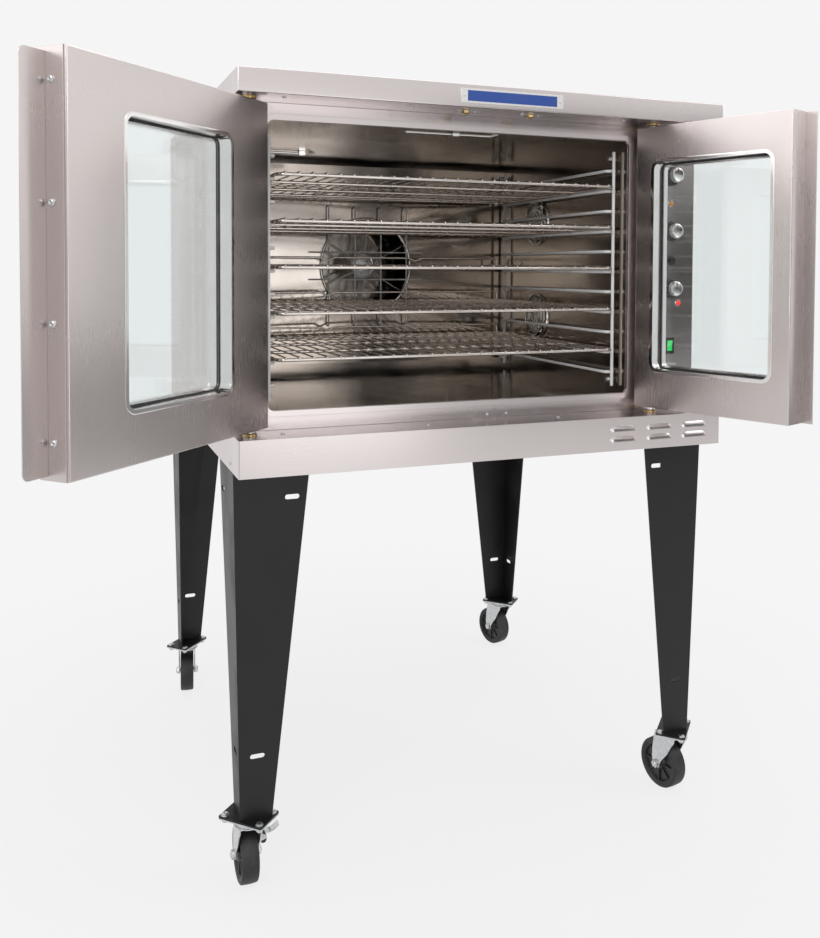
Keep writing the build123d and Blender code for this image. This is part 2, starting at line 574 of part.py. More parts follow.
# ---------------------------------------------------------------- doors
def door_parts(side, hinge_x, toward, width, window_margin, open_angle):
    """A hollow door, built closed, then swung open about its hinge axis."""
    edge = hinge_x - toward * HINGE_EDGE            # hinge-side edge of the pan
    free = edge + toward * width

    def span(a, b):
        return (min(a, b), max(a, b))

    swing = Pos(hinge_x, HINGE_Y, 0) * Rot(0, 0, open_angle) * Pos(-hinge_x, -HINGE_Y, 0)
    pan_x = span(edge, free)
    z = (DOOR_Z0, DOOR_Z1)
    win_a = edge + toward * window_margin
    win_x = span(win_a, win_a + toward * WINDOW_W)
    win_z = (DOOR_Z0 + WINDOW_RISE, DOOR_Z0 + WINDOW_RISE + WINDOW_H)
    tube = SHEET + FIT
    tube_x = (win_x[0] - tube, win_x[1] + tube)
    tube_z = (win_z[0] - tube, win_z[1] + tube)

    pan = block(pan_x, (DOOR_OUT_Y + SHEET, DOOR_IN_Y), z)
    pan = fillet(pan.edges().group_by(Axis.Y)[-1], 2.0)
    pan -= block((pan_x[0] + SHEET, pan_x[1] - SHEET), (DOOR_OUT_Y - 1, DOOR_IN_Y - SHEET), (z[0] + SHEET, z[1] - SHEET))
    pan -= rounded_panel(tube_x, (DOOR_OUT_Y - 1, DOOR_IN_Y + 1), tube_z, WINDOW_CORNER_R + tube)

    lip = SKIN_LIP if side == "right" else 0.0
    skin = block(span(edge, free + toward * lip), (DOOR_OUT_Y, DOOR_OUT_Y + SHEET), z)
    skin -= rounded_panel(tube_x, (DOOR_OUT_Y - 1, DOOR_OUT_Y + 2 * SHEET), tube_z, WINDOW_CORNER_R + tube)

    trim = rounded_panel((tube_x[0] + FIT, tube_x[1] - FIT), (DOOR_OUT_Y - SHEET, DOOR_IN_Y + FIT),
                         (tube_z[0] + FIT, tube_z[1] - FIT), WINDOW_CORNER_R + SHEET)
    flange_x = (win_x[0] - TRIM_FLANGE, win_x[1] + TRIM_FLANGE)
    flange_z = (win_z[0] - TRIM_FLANGE, win_z[1] + TRIM_FLANGE)
    for y in ((DOOR_OUT_Y - SHEET, DOOR_OUT_Y), (DOOR_IN_Y, DOOR_IN_Y + FIT)):
        trim = trim + rounded_panel(flange_x, y, flange_z, WINDOW_CORNER_R + TRIM_FLANGE)
    trim -= rounded_panel(win_x, (DOOR_OUT_Y - 5, DOOR_IN_Y + 5), win_z, WINDOW_CORNER_R)

    pane_x = (win_x[0] + FIT, win_x[1] - FIT)
    pane_z = (win_z[0] + FIT, win_z[1] - FIT)
    panes = []
    for depth in (INNER_PANE_DEPTH, OUTER_PANE_DEPTH):
        y = (DOOR_IN_Y - depth - GLASS_T, DOOR_IN_Y - depth)
        panes.append(rounded_panel(pane_x, y, pane_z, WINDOW_CORNER_R - FIT))

    handle_z = (z[0] + HANDLE_INSET, z[1] - HANDLE_INSET)
    inner_z = (handle_z[0] + HANDLE_CAP_T, handle_z[1] - HANDLE_CAP_T)
    front_y = DOOR_OUT_Y - HANDLE_PROUD
    web = block(span(free, free - toward * HANDLE_WALL), (front_y, DOOR_OUT_Y), inner_z)
    grip = block(span(free - toward * HANDLE_WALL, free - toward * HANDLE_W), (front_y, front_y + HANDLE_WALL), inner_z)
    caps = [block(span(free, free - toward * HANDLE_W), (front_y, DOOR_OUT_Y), cap_z)
            for cap_z in ((handle_z[0], inner_z[0]), (inner_z[1], handle_z[1]))]

    pins = []
    sleeve_end = BUSH_FLANGE_T + 12
    top_gap_end = TOP_COWL_Z - BUSH_FLANGE_T - FIT
    pins.append(rod((hinge_x, HINGE_Y, z[1]), (hinge_x, HINGE_Y, top_gap_end), PIN_WASHER_R)
                + rod((hinge_x, HINGE_Y, z[1]), (hinge_x, HINGE_Y, TOP_COWL_Z - BUSH_FLANGE_T + sleeve_end - 1), PIN_R))
    low_gap_end = BOTTOM_COWL_Z + BUSH_FLANGE_T + FIT
    pins.append(rod((hinge_x, HINGE_Y, low_gap_end), (hinge_x, HINGE_Y, z[0]), PIN_WASHER_R)
                + rod((hinge_x, HINGE_Y, BOTTOM_COWL_Z + BUSH_FLANGE_T - sleeve_end + 1), (hinge_x, HINGE_Y, z[0]), PIN_R))

    catch_x = CATCH_XS[side]
    strikes = [block((catch_x - 16, catch_x + 16), (CATCH_Y - 9, CATCH_Y + 9), strike_z)
               for strike_z in ((z[1], z[1] + STRIKE_T), (z[0] - STRIKE_T, z[0]))]

    def put(name, *pieces):
        add(f"{side}_door_{name}", *[swing * piece for piece in pieces])

    put("pan", pan)
    put("skin", skin)
    put("window_trim", trim)
    put("glass", *panes)
    put("handle", web, grip, *caps)
    put("hinge_pins", *pins, *strikes)
    if side == "left":
        lip_y = DOOR_IN_Y - ASTRAGAL_DEPTH
        lip_z = (z[0] + ASTRAGAL_TOP_DROP, z[1] - ASTRAGAL_TOP_DROP)
        flange = block((free, free + ASTRAGAL_T), (DOOR_OUT_Y + SHEET, DOOR_IN_Y - 4), z)
        blade = block((free + ASTRAGAL_T, free + ASTRAGAL_LIP), (lip_y - ASTRAGAL_T, lip_y), lip_z)
        tips = blade.edges().filter_by(Axis.Y).group_by(Axis.X)[-1]
        blade = fillet(tips, 10.0)
        screws = []
        for rise in ASTRAGAL_SCREWS:
            centre = (free + ASTRAGAL_T, HINGE_Y, BASE + rise)
            tip = (free + ASTRAGAL_T + 3, HINGE_Y, BASE + rise)
            head = rod(centre, tip, 5.5)
            screws.append(fillet(head.faces().sort_by(Axis.X)[-1].edges(), 2.0))
        put("astragal", flange, blade, *screws)


def make_doors():
    door_parts("left", LEFT_HINGE_X, 1, LEFT_DOOR_W, LEFT_WINDOW_MARGIN, -LEFT_OPEN)
    door_parts("right", RIGHT_HINGE_X, -1, RIGHT_DOOR_W, RIGHT_WINDOW_MARGIN, RIGHT_OPEN)


def make_door_hardware():
    """Brass hinge bushes in the cowls, ball catches over the door tops and a strike bracket below."""
    for hinge_x in (LEFT_HINGE_X, RIGHT_HINGE_X):
        for z, up in ((TOP_COWL_Z, 1), (BOTTOM_COWL_Z, -1)):
            low = z - up * BUSH_FLANGE_T
            flange = rod((hinge_x, HINGE_Y, low), (hinge_x, HINGE_Y, z), BUSH_R)
            sleeve = rod((hinge_x, HINGE_Y, low), (hinge_x, HINGE_Y, low + up * (BUSH_FLANGE_T + 12)), BUSH_SLEEVE_R)
            bore = rod((hinge_x, HINGE_Y, low - up), (hinge_x, HINGE_Y, low + up * 20), PIN_R + RUNNING)
            add("door_hardware", flange + sleeve - bore)
    ball_low = DOOR_Z1 + STRIKE_T + FIT
    for x in CATCH_XS.values():
        plate = block((x - 15, x + 15), (CATCH_Y - 10, CATCH_Y + 10), (TOP_COWL_Z - 1.5, TOP_COWL_Z))
        ball = Pos(x, CATCH_Y, ball_low + CATCH_BALL_R) * Sphere(CATCH_BALL_R)
        ball = ball - block((x - 9, x + 9), (CATCH_Y - 9, CATCH_Y + 9), (TOP_COWL_Z - 1.5, TOP_COWL_Z + 9))
        add("door_hardware", plate, ball)
    foot = block(BRACKET_X, (FACE_Y - BRACKET_FOOT, FACE_Y), (BOTTOM_COWL_Z, BOTTOM_COWL_Z + BRACKET_T))
    riser = block(BRACKET_X, (FACE_Y - BRACKET_T, FACE_Y), (BOTTOM_COWL_Z + BRACKET_T, CAV_FLOOR - HEADER_LIP_H - 1))
    add("door_hardware", foot, riser)


# ---------------------------------------------------------------- controls
def make_controls():
    back = FACE_Y + SHEET
    for name, rise in KNOB_HEIGHTS.items():
        z = BASE + rise
        at = lambda y: (KNOB_X, y, z)
        skirt = rod(at(FACE_Y - 0.6), at(FACE_Y - 5), KNOB_SKIRT_R)
        cap = rod(at(FACE_Y - 5), at(FACE_Y - KNOB_H), KNOB_CAP_R)
        cap = fillet(cap.faces().sort_by(Axis.Y)[0].edges(), 2.5)
        spindle = rod(at(FACE_Y - 3), at(back + SPINDLE_L), KNOB_SHAFT_R)
        add(name, union([skirt, cap, spindle]))
        half = CONTROL_BODY / 2
        body = block((KNOB_X - half, KNOB_X + half), (back, back + 38), (z - half, z + half))
        body -= rod(at(back - 1), at(back + SPINDLE_L + 1), KNOB_SHAFT_R + RUNNING)
        add("electrical_parts", body)

    z = BASE + ROCKER_H
    w, h = ROCKER_SIZE[0] / 2, ROCKER_SIZE[1] / 2
    outer_w, outer_h = w + FIT + ROCKER_WALL, h + ROCKER_SWING_GAP + ROCKER_WALL
    bezel = block((KNOB_X - outer_w, KNOB_X + outer_w), (FACE_Y - 2, FACE_Y), (z - outer_h, z + outer_h))
    bezel = bezel + block((KNOB_X - outer_w + 1, KNOB_X + outer_w - 1), (FACE_Y - 1, FACE_Y + 22),
                          (z - outer_h + 1, z + outer_h - 1))
    bezel -= block((KNOB_X - w - FIT, KNOB_X + w + FIT), (FACE_Y - 3, FACE_Y + 18), (z - h - ROCKER_SWING_GAP, z + h + ROCKER_SWING_GAP))
    pivot_y = FACE_Y + 6.0
    bezel -= rod((KNOB_X - w - 2, pivot_y, z), (KNOB_X + w + 2, pivot_y, z), 1.5 + RUNNING)
    add("electrical_parts", bezel)
    profile = [(FACE_Y - 4, z + h), (FACE_Y - 1, z), (FACE_Y - 2, z - h), (pivot_y + 2, z - h + 4),
               (pivot_y + 4, z), (pivot_y + 2, z + h - 4)]
    paddle = plate_across_x(profile, KNOB_X - w, KNOB_X + w)
    trunnions = rod((KNOB_X - w - 1.5, pivot_y, z), (KNOB_X + w + 1.5, pivot_y, z), 1.5)
    add("power_rocker", paddle + trunnions)

    z = BASE + BUTTON_H
    at = lambda y: (KNOB_X, y, z)
    collar = rod(at(FACE_Y - 3), at(FACE_Y), BUTTON_R + BUTTON_COLLAR + 2)
    collar = collar + rod(at(FACE_Y - 1), at(FACE_Y + 20), BUTTON_R + BUTTON_COLLAR)
    collar -= rod(at(FACE_Y - 4), at(FACE_Y + 16), BUTTON_R + RUNNING)
    add("electrical_parts", collar)
    add("light_button", rod(at(FACE_Y - 3 - BUTTON_PROUD), at(FACE_Y + 10), BUTTON_R))

    for x, rise in (POWER_LAMP, HEAT_LAMP):
        lens = rod((x, FACE_Y - 3, BASE + rise), (x, FACE_Y + 18, BASE + rise), LAMP_LENS_R - RUNNING)
        add("electrical_parts", fillet(lens.faces().sort_by(Axis.Y)[0].edges(), 1.5))

    for (x0, x1), setback, clip_x in BULBS:
        y, z = FRONT + setback, CAV_ROOF - BULB_DROP
        add("electrical_parts", rod((x0, y, z), (x1, y, z), BULB_R))
        clip = block((clip_x - 7, clip_x + 7), (y - 5, y + 5), (z - BULB_R - 1.5, CAV_ROOF))
        add("electrical_parts", clip - rod((clip_x - 9, y, z), (clip_x + 9, y, z), BULB_R + RUNNING))

    gland = ring((GLAND_X, BACK - GLAND_L / 2, GLAND_Z), (GLAND_X, BACK + GLAND_L / 2, GLAND_Z), GLAND_R, GLAND_BORE_R)
    nut = ring((GLAND_X, BACK, GLAND_Z), (GLAND_X, BACK + 6, GLAND_Z), GLAND_R + 5, GLAND_R)
    add("electrical_parts", gland + nut)


def make_nameplate():
    z = (BASE + PLATE_RISE[0], BASE + PLATE_RISE[1])
    add("nameplate", rounded_panel(PLATE_X, (FRONT - 1.0, FRONT), z, 2.0))


# ---------------------------------------------------------------- stand
def leg_corners():
    """Each leg: its name, its outward signs, and its outer corner at the top and at the foot."""
    front = (FRONT + LEG_TOP_INSET, FRONT + LEG_FOOT_INSET)
    back = (BACK - BACK_LEG_TOP_INSET, BACK - BACK_LEG_FOOT_INSET)
    for end, sy, (top_y, foot_y) in (("front", -1, front), ("back", 1, back)):
        for side, sx in (("left", -1), ("right", 1)):
            yield f"{end}_{side}", sx, sy, (sx * LEG_TOP_X, top_y), (sx * LEG_FOOT_X, foot_y)


def leg_bolt_places():
    for _, sx, sy, (x, y), _ in leg_corners():
        for dx, dy in ((LEG_BOLT_IN, LEG_BOLT_OUT), (LEG_BOLT_OUT, LEG_BOLT_IN)):
            yield x - sx * dx, y - sy * dy


def pivot_of(sx, sy, foot):
    return foot[0] - sx * PIVOT_INSET, foot[1] - sy * PIVOT_INSET


def slot(centre, along, through):
    """A round-ended slot cutter, centred on a point."""
    centre, along, through = Vector(*centre), Vector(*along), Vector(*through)
    plane = Plane(origin=centre - through * 8, x_dir=along, z_dir=through)
    return plane * extrude(SlotOverall(SLOT_L, 2 * SLOT_R), 16)


def plate_outline(pivot, sx, sy, thickness, z):
    """The caster plate, turned so that its long side crosses the corner."""
    turn = -45 if sx * sy > 0 else 45
    return Pos(pivot[0], pivot[1], z + thickness / 2) * Rot(0, 0, turn) * fillet(
        Box(PLATE_L, PLATE_W, thickness).edges().filter_by(Axis.Z), 4.0)


def plate_bolts(pivot, sx, sy):
    turn = radians(-45 if sx * sy > 0 else 45)
    for u in (-1, 1):
        for v in (-1, 1):
            du, dv = u * (PLATE_L / 2 - 9), v * (PLATE_W / 2 - 9)
            yield pivot[0] + du * cos(turn) - dv * sin(turn), pivot[1] + du * sin(turn) + dv * cos(turn)


def angle_section(corner, sx, sy, width):
    """An L with its outer corner at a point and its flanges running inward."""
    x, y = corner
    outline = [(0, 0), (width, 0), (width, LEG_T), (LEG_T, LEG_T), (LEG_T, width), (0, width)]
    return [(x - sx * u, y - sy * v) for u, v in outline]


def make_stand():
    foot_z = BASE - LEG_H
    for name, sx, sy, top, foot in leg_corners():
        sections = []
        for z, corner, width in ((foot_z, foot, LEG_FOOT_W), (BASE, top, LEG_TOP_W)):
            points = [(x, y, z) for x, y in angle_section(corner, sx, sy, width)]
            sections.append(Face(Wire.make_polygon(points)))
        leg = loft(sections, ruled=True)
        for drop, inset in ((UPPER_SLOT_DROP, 103.0), (LOWER_SLOT_DROP, 33.0)):
            share = drop / LEG_H
            x = top[0] + (foot[0] - top[0]) * share
            y = top[1] + (foot[1] - top[1]) * share
            z = BASE - drop
            leg -= slot((x - sx * inset, y, z), (1, 0, 0), (0, 1, 0))
            leg -= slot((x, y - sy * inset, z), (0, 1, 0), (1, 0, 0))
        pivot = pivot_of(sx, sy, foot)
        pad = plate_outline(pivot, sx, sy, LEG_T, foot_z)
        head = [(x, y) for x, y in ((top[0] - sx * LEG_T, top[1] - sy * LEG_T),
                                    (top[0] - sx * 120, top[1] - sy * LEG_T),
                                    (top[0] - sx * LEG_T, top[1] - sy * 120))]
        cap = plate_across_z(head, BASE - LEG_T, BASE)
        for x, y in leg_bolt_places():
            cap -= rod((x, y, BASE - 9), (x, y, BASE + 9), LEG_BOLT_HOLE_R)
        for x, y in plate_bolts(pivot, sx, sy):
            pad -= rod((x, y, foot_z - 9), (x, y, foot_z + 9), LEG_BOLT_R)
        add(f"{name}_leg", union([leg, pad, cap]))
        for x, y in plate_bolts(pivot, sx, sy):
            shank = rod((x, y, foot_z - PLATE_T - 7), (x, y, foot_z + LEG_T), LEG_BOLT_R - RUNNING)
            add("fasteners", shank + rod((x, y, foot_z + LEG_T), (x, y, foot_z + LEG_T + 4), 6.0)
                + rod((x, y, foot_z - PLATE_T - 5), (x, y, foot_z - PLATE_T), 6.0))
        plate = plate_outline(pivot, sx, sy, PLATE_T, foot_z - PLATE_T)
        for x, y in plate_bolts(pivot, sx, sy):
            plate -= rod((x, y, foot_z - 9), (x, y, foot_z + 9), LEG_BOLT_R)
        under = foot_z - PLATE_T
        kingpin = rod((*pivot, under), (*pivot, under - FIT - CROWN_H), KINGPIN_R)
        washer = rod((*pivot, under - FIT - CROWN_H - 0.2), (*pivot, under - FIT - CROWN_H - 3), KINGPIN_R + 4)
        kingpin = kingpin + rod((*pivot, under - 1), (*pivot, under - FIT - CROWN_H - 1), KINGPIN_R)
        add("caster_plates", union([plate, kingpin, washer]))
    for x, y in leg_bolt_places():
        add("fasteners", rod((x, y, BASE - LEG_T - 5), (x, y, BASE + SHEET + 6), LEG_BOLT_R)
            + rod((x, y, BASE - LEG_T - 5), (x, y, BASE - LEG_T), 6.5)
            + rod((x, y, BASE + SHEET), (x, y, BASE + SHEET + 6), 6.5))


# ---------------------------------------------------------------- casters
def make_casters():
    """Swivel forks, wheels and, at the front, side brakes, built with their wheels behind the pivot."""
    under = BASE - LEG_H - PLATE_T
    axle_z = WHEEL_R
    crown_top = under - FIT
    crown_low = crown_top - CROWN_H
    arm_in = WHEEL_W / 2 + FORK_GAP
    arm_out = arm_in + FORK_T
    for name, sx, sy, _, foot in leg_corners():
        pivot = pivot_of(sx, sy, foot)
        place = Pos(pivot[0], pivot[1], 0) * Rot(0, 0, TRAIL_ANGLES[name])
        crown = ring((0, 0, crown_low), (0, 0, crown_top), CROWN_R, KINGPIN_R + RUNNING)
        crown -= rod((0, 0, crown_low - 1), (0, 0, crown_low + 0.01), KINGPIN_R + 5)
        roof_z = crown_top - FORK_ROOF_DROP
        roof = block((-CROWN_R + 6, TRAIL + 2), (-arm_out, arm_out), (roof_z - FORK_T, roof_z))
        roof -= rod((0, 0, crown_low - 9), (0, 0, crown_top + 1), CROWN_R - 1)
        pieces = [crown, roof]
        for s in (-1, 1):
            outline = [(-CROWN_R + 6, roof_z), (TRAIL + 2, roof_z), (TRAIL + 11, axle_z + 8),
                       (TRAIL + 8, axle_z - 9), (TRAIL - 8, axle_z - 9), (TRAIL - 14, axle_z + 14)]
            pieces.append(plate_across_y(outline, *sorted((s * arm_in, s * arm_out))))
        axle = rod((TRAIL, -arm_out - 7, axle_z), (TRAIL, arm_out + 7, axle_z), WHEEL_BORE_R - RUNNING)
        nuts = [rod((TRAIL, s * arm_out, axle_z), (TRAIL, s * (arm_out + 6), axle_z), 8.0) for s in (-1, 1)]
        pieces += [axle] + nuts
        fork = union(pieces)
        wheel = rod((TRAIL, -WHEEL_W / 2, axle_z), (TRAIL, WHEEL_W / 2, axle_z), WHEEL_R)
        wheel = fillet(wheel.edges().filter_by(GeomType.CIRCLE), 5.0)
        for s in (-1, 1):
            dish = ring((TRAIL, s * (WHEEL_W / 2 - 6), axle_z), (TRAIL, s * (WHEEL_W / 2 + 1), axle_z), 36.0, 12.0)
            wheel -= dish
        wheel -= rod((TRAIL, -40, axle_z), (TRAIL, 40, axle_z), WHEEL_BORE_R)
        if name.startswith("front"):
            fork, lever = side_brake(fork, arm_out, axle_z)
            add(f"{name}_brake_lever", place * lever)
        add(f"{name}_fork", place * fork)
        add(f"{name}_wheel", place * wheel)


def side_brake(fork, arm_out, axle_z):
    """A cam lever on the outside of the arm, on a pin that runs fore and aft between two ears."""
    side = -1
    pin_y = side * (arm_out + BRAKE_ARM)
    pin_z = axle_z + BRAKE_RISE
    x0, x1 = TRAIL - 14, TRAIL + 4
    for x in (x0 - 2.5, x1 + 0.5):
        ear = block((x, x + 2), (min(pin_y - 4, side * arm_out), max(pin_y - 4, side * arm_out)), (pin_z - 5, pin_z + 5))
        fork = fork + ear
    fork = fork + rod((x0 - 2.5, pin_y, pin_z), (x1 + 2.5, pin_y, pin_z), BRAKE_PIN_R)
    cam = block((x0, x1), (pin_y - 5, pin_y + 5), (pin_z - BRAKE_CAM_L, pin_z + 5))
    tongue = Pos(0, pin_y - 4, pin_z + 3) * Rot(-20, 0, 0) * block((x0 + 2, x1 - 2), (-26, 0), (0, 2))
    lever = cam + tongue
    lever -= rod((x0 - 3, pin_y, pin_z), (x1 + 3, pin_y, pin_z), BRAKE_PIN_R + RUNNING)
    return fork, lever


# ---------------------------------------------------------------- build
def main():
    make_cowls()
    make_casing()
    make_face()
    make_control_panel()
    make_cavity()
    make_lamps()
    make_baffle()
    make_fan_guard()
    make_fan()
    make_element()
    make_rack_guides()
    make_racks()
    make_doors()
    make_door_hardware()
    make_controls()
    make_nameplate()
    make_stand()
    make_casters()
    os.makedirs("parts", exist_ok=True)
    for name, solids in parts.items():
        shape = solids[0] if len(solids) == 1 else Compound(children=solids)
        export_step(shape, f"parts/{name}.step")


main()
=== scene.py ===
import json
from math import atan, ceil, cos, pi, radians, sin, sqrt, tan

import bmesh
import bpy
from mathutils import Matrix, Vector


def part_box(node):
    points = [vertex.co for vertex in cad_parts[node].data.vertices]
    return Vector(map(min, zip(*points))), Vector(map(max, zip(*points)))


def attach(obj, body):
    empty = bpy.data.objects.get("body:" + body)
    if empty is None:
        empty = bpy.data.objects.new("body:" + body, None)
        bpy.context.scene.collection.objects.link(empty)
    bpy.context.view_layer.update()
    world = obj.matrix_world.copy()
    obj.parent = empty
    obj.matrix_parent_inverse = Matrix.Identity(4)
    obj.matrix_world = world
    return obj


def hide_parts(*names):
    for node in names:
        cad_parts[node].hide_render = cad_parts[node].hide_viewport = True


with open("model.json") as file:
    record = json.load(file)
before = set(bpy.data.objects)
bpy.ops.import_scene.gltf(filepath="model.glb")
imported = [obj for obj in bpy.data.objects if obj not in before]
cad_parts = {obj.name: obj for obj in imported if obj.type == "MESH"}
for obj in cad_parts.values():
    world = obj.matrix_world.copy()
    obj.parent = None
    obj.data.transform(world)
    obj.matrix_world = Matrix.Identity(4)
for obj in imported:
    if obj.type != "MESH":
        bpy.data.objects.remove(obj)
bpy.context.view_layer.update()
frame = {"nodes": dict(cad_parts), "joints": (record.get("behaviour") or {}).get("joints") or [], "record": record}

JOINTS = {joint["name"]: joint for joint in frame["joints"]}
BODY_OF = {node: body for body, nodes in frame["record"]["behaviour"]["bodies"].items() for node in nodes}

# ---------------------------------------------------------------- places, read from the frame
MM = 0.001
SHEET = 1.2 * MM
FIT = 0.3 * MM
SIDE_L, SIDE_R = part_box("left_side_panel")[0].x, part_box("right_side_panel")[1].x
FRONT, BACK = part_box("top_panel")[0].y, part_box("back_panel")[1].y
COWL_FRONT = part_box("top_cowl")[0].y
TOP_COWL_Z, ROOF_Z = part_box("top_cowl")[0].z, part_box("top_cowl")[1].z
BASE_Z, LOW_COWL_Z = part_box("bottom_cowl")[0].z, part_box("bottom_cowl")[1].z
FACE_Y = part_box("control_panel")[0].y
liner_low, liner_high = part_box("cavity_liner")
WALL_L, WALL_R = liner_low.x + SHEET, liner_high.x - SHEET
FLOOR_Z, CEILING_Z = liner_low.z + SHEET, liner_high.z - SHEET
REAR_Y = liner_high.y - SHEET
baffle_low, baffle_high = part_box("baffle_panel")
BAFFLE_Y = baffle_low.y
FAN_X, _, FAN_Z = JOINTS["fan_spin"]["pos_m"]


# ---------------------------------------------------------------- sums on nodes
class Wire:
    """A node's output, with sums written as plain Python."""

    def __init__(self, tree, socket):
        self.tree, self.socket = tree, socket

    def sum(self, operation, first, second=0.0):
        return add_node(self.tree, "ShaderNodeMath", {"operation": operation}, {0: first, 1: second})

    def __add__(self, other):
        return self.sum("ADD", self, other)

    def __sub__(self, other):
        return self.sum("SUBTRACT", self, other)

    def __rsub__(self, other):
        return self.sum("SUBTRACT", other, self)

    def __mul__(self, other):
        return self.sum("MULTIPLY", self, other)

    def __truediv__(self, other):
        return self.sum("DIVIDE", self, other)

    def __pow__(self, other):
        return self.sum("POWER", self, other)

    __radd__ = __add__
    __rmul__ = __mul__


def add_node(tree, kind, settings=None, inputs=None, output=0):
    """Any node: its settings come first, then the values or links of its sockets."""
    node = tree.nodes.new(kind)
    for name, value in (settings or {}).items():
        if name == "stops":
            set_stops(node.color_ramp, value)
        else:
            setattr(node, name, value)
    for key, value in (inputs or {}).items():
        if isinstance(value, Wire):
            tree.links.new(value.socket, node.inputs[key])
        else:
            node.inputs[key].default_value = value
    return Wire(tree, node.outputs[output]) if node.outputs else node


def set_stops(ramp, stops):
    """Stops are (place, grey or colour) pairs."""
    while len(ramp.elements) < len(stops):
        ramp.elements.new(0.5)
    for element, (place, shade) in zip(ramp.elements, stops):
        element.position = place
        element.color = (*shade, 1.0) if isinstance(shade, tuple) else (shade, shade, shade, 1.0)


# ---------------------------------------------------------------- finishes
class Finish:
    """A material with one Principled shader, whose patterns sit on object coordinates."""

    def __init__(self, name, colour, roughness, metallic=0.0, **fixed):
        self.material = bpy.data.materials.new(name)
        self.material.use_nodes = True
        self.tree = self.material.node_tree
        self.shader = self.tree.nodes["Principled BSDF"]
        self.set("Base Color", (*colour, 1.0))
        self.set("Roughness", roughness)
        self.set("Metallic", metallic)
        for key, value in fixed.items():
            self.set(key.replace("_", " "), value)
        self.place = self.node("ShaderNodeTexCoord", output="Object")

    def node(self, kind, settings=None, inputs=None, output=0):
        return add_node(self.tree, kind, settings, inputs, output)

    def set(self, socket, value):
        if isinstance(value, Wire):
            self.tree.links.new(value.socket, self.shader.inputs[socket])
        else:
            self.shader.inputs[socket].default_value = value

    def stretched(self, stretch):
        return self.node("ShaderNodeVectorMath", {"operation": "MULTIPLY"}, {0: self.place, 1: stretch})

    def noise(self, scale, detail=3.0, stretch=None, distortion=0.0):
        at = self.stretched(stretch) if stretch else self.place
        values = {"Vector": at, "Scale": scale, "Detail": detail, "Distortion": distortion}
        return self.node("ShaderNodeTexNoise", None, values)

    def ramp(self, value, *stops):
        return self.node("ShaderNodeValToRGB", {"stops": stops}, {0: value})

    def blend(self, share, first, second):
        """A colour between two colours."""
        first, second = (c if isinstance(c, Wire) else (*c, 1.0) for c in (first, second))
        return self.node("ShaderNodeMix", {"data_type": "RGBA"}, {0: share, 6: first, 7: second}, 2)

    def bump(self, height, strength, distance, under=None):
        values = {"Height": height, "Strength": strength, "Distance": distance}
        if under:
            values["Normal"] = under
        return self.node("ShaderNodeBump", None, values)


def lines_along(axis, fine, slow):
    """A stretch that draws noise out into lines along an axis, in cycles to the metre."""
    return tuple(slow if name == axis else fine for name in "xyz")


def brushed_steel(name, axis, colour=(0.61, 0.557, 0.545), roughness=0.26, tone=0.018):
    """Stainless sheet, grained along one axis, with faint cloudy handling marks."""
    finish = Finish(name, colour, roughness, 1.0)
    fine = finish.noise(1.0, 2.0, lines_along(axis, 1500.0, 3.0))
    broad = finish.noise(1.0, 1.0, lines_along(axis, 420.0, 0.9))
    cloud = finish.noise(3.5, 4.0)
    streak = fine * 0.6 + broad * 0.4
    light = tuple(min(1.0, c * (1 + tone)) for c in colour)
    dark = tuple(c * (1 - tone) for c in colour)
    finish.set("Base Color", finish.blend(finish.ramp(streak, (0.3, 0.0), (0.7, 1.0)), dark, light))
    finish.set("Roughness", roughness - 0.03 + streak * 0.03 + finish.ramp(cloud, (0.35, 0.0), (0.7, 1.0)) * 0.05)
    finish.set("Normal", finish.bump(streak, 0.03, 0.00005))
    return finish.material


def liner_steel(name, colour=(0.47, 0.43, 0.398), roughness=0.13):
    """Bright cavity sheet, a little wavy, with a straw tint where it has been hot."""
    finish = Finish(name, colour, roughness, 1.0)
    warm = finish.ramp(finish.noise(2.2, 3.0), (0.35, 0.0), (0.75, 1.0))
    smear = finish.noise(9.0, 5.0, (1.0, 1.0, 0.25), 0.4)
    tinted = finish.blend(warm * 0.5, colour, (0.45, 0.37, 0.28))
    finish.set("Base Color", tinted)
    finish.set("Roughness", roughness - 0.04 + finish.ramp(smear, (0.35, 0.0), (0.75, 1.0)) * 0.12)
    waves = finish.bump(finish.noise(4.0, 1.0), 0.12, 0.003)
    finish.set("Normal", finish.bump(finish.noise(240.0, 2.0), 0.04, 0.0004, waves))
    return finish.material


def plated(name, colour, roughness, spread, scale, dull=0.12):
    """Plated or polished metal, with a soft mottle of duller and darker patches."""
    finish = Finish(name, colour, roughness, 1.0)
    mottle = finish.ramp(finish.noise(scale, 4.0), (0.38, 0.0), (0.68, 1.0))
    finish.set("Base Color", finish.blend(mottle * spread, colour, tuple(c * 0.55 for c in colour)))
    finish.set("Roughness", roughness + mottle * dull)
    finish.set("Normal", finish.bump(finish.noise(scale * 6, 2.0), 0.06, 0.0003))
    return finish.material


def powder_coat(name, colour=(0.0045, 0.0043, 0.005)):
    """Black powder coat: fine orange peel, a little dust."""
    finish = Finish(name, colour, 0.42, Specular_IOR_Level=0.4)
    dust = finish.ramp(finish.noise(11.0, 5.0), (0.45, 0.0), (0.8, 1.0))
    finish.set("Base Color", finish.blend(dust * 0.12, colour, (0.04, 0.038, 0.038)))
    finish.set("Roughness", 0.40 + dust * 0.18)
    peel = finish.bump(finish.noise(520.0, 2.0), 0.22, 0.0006)
    finish.set("Normal", finish.bump(finish.noise(90.0, 2.0), 0.08, 0.001, peel))
    return finish.material


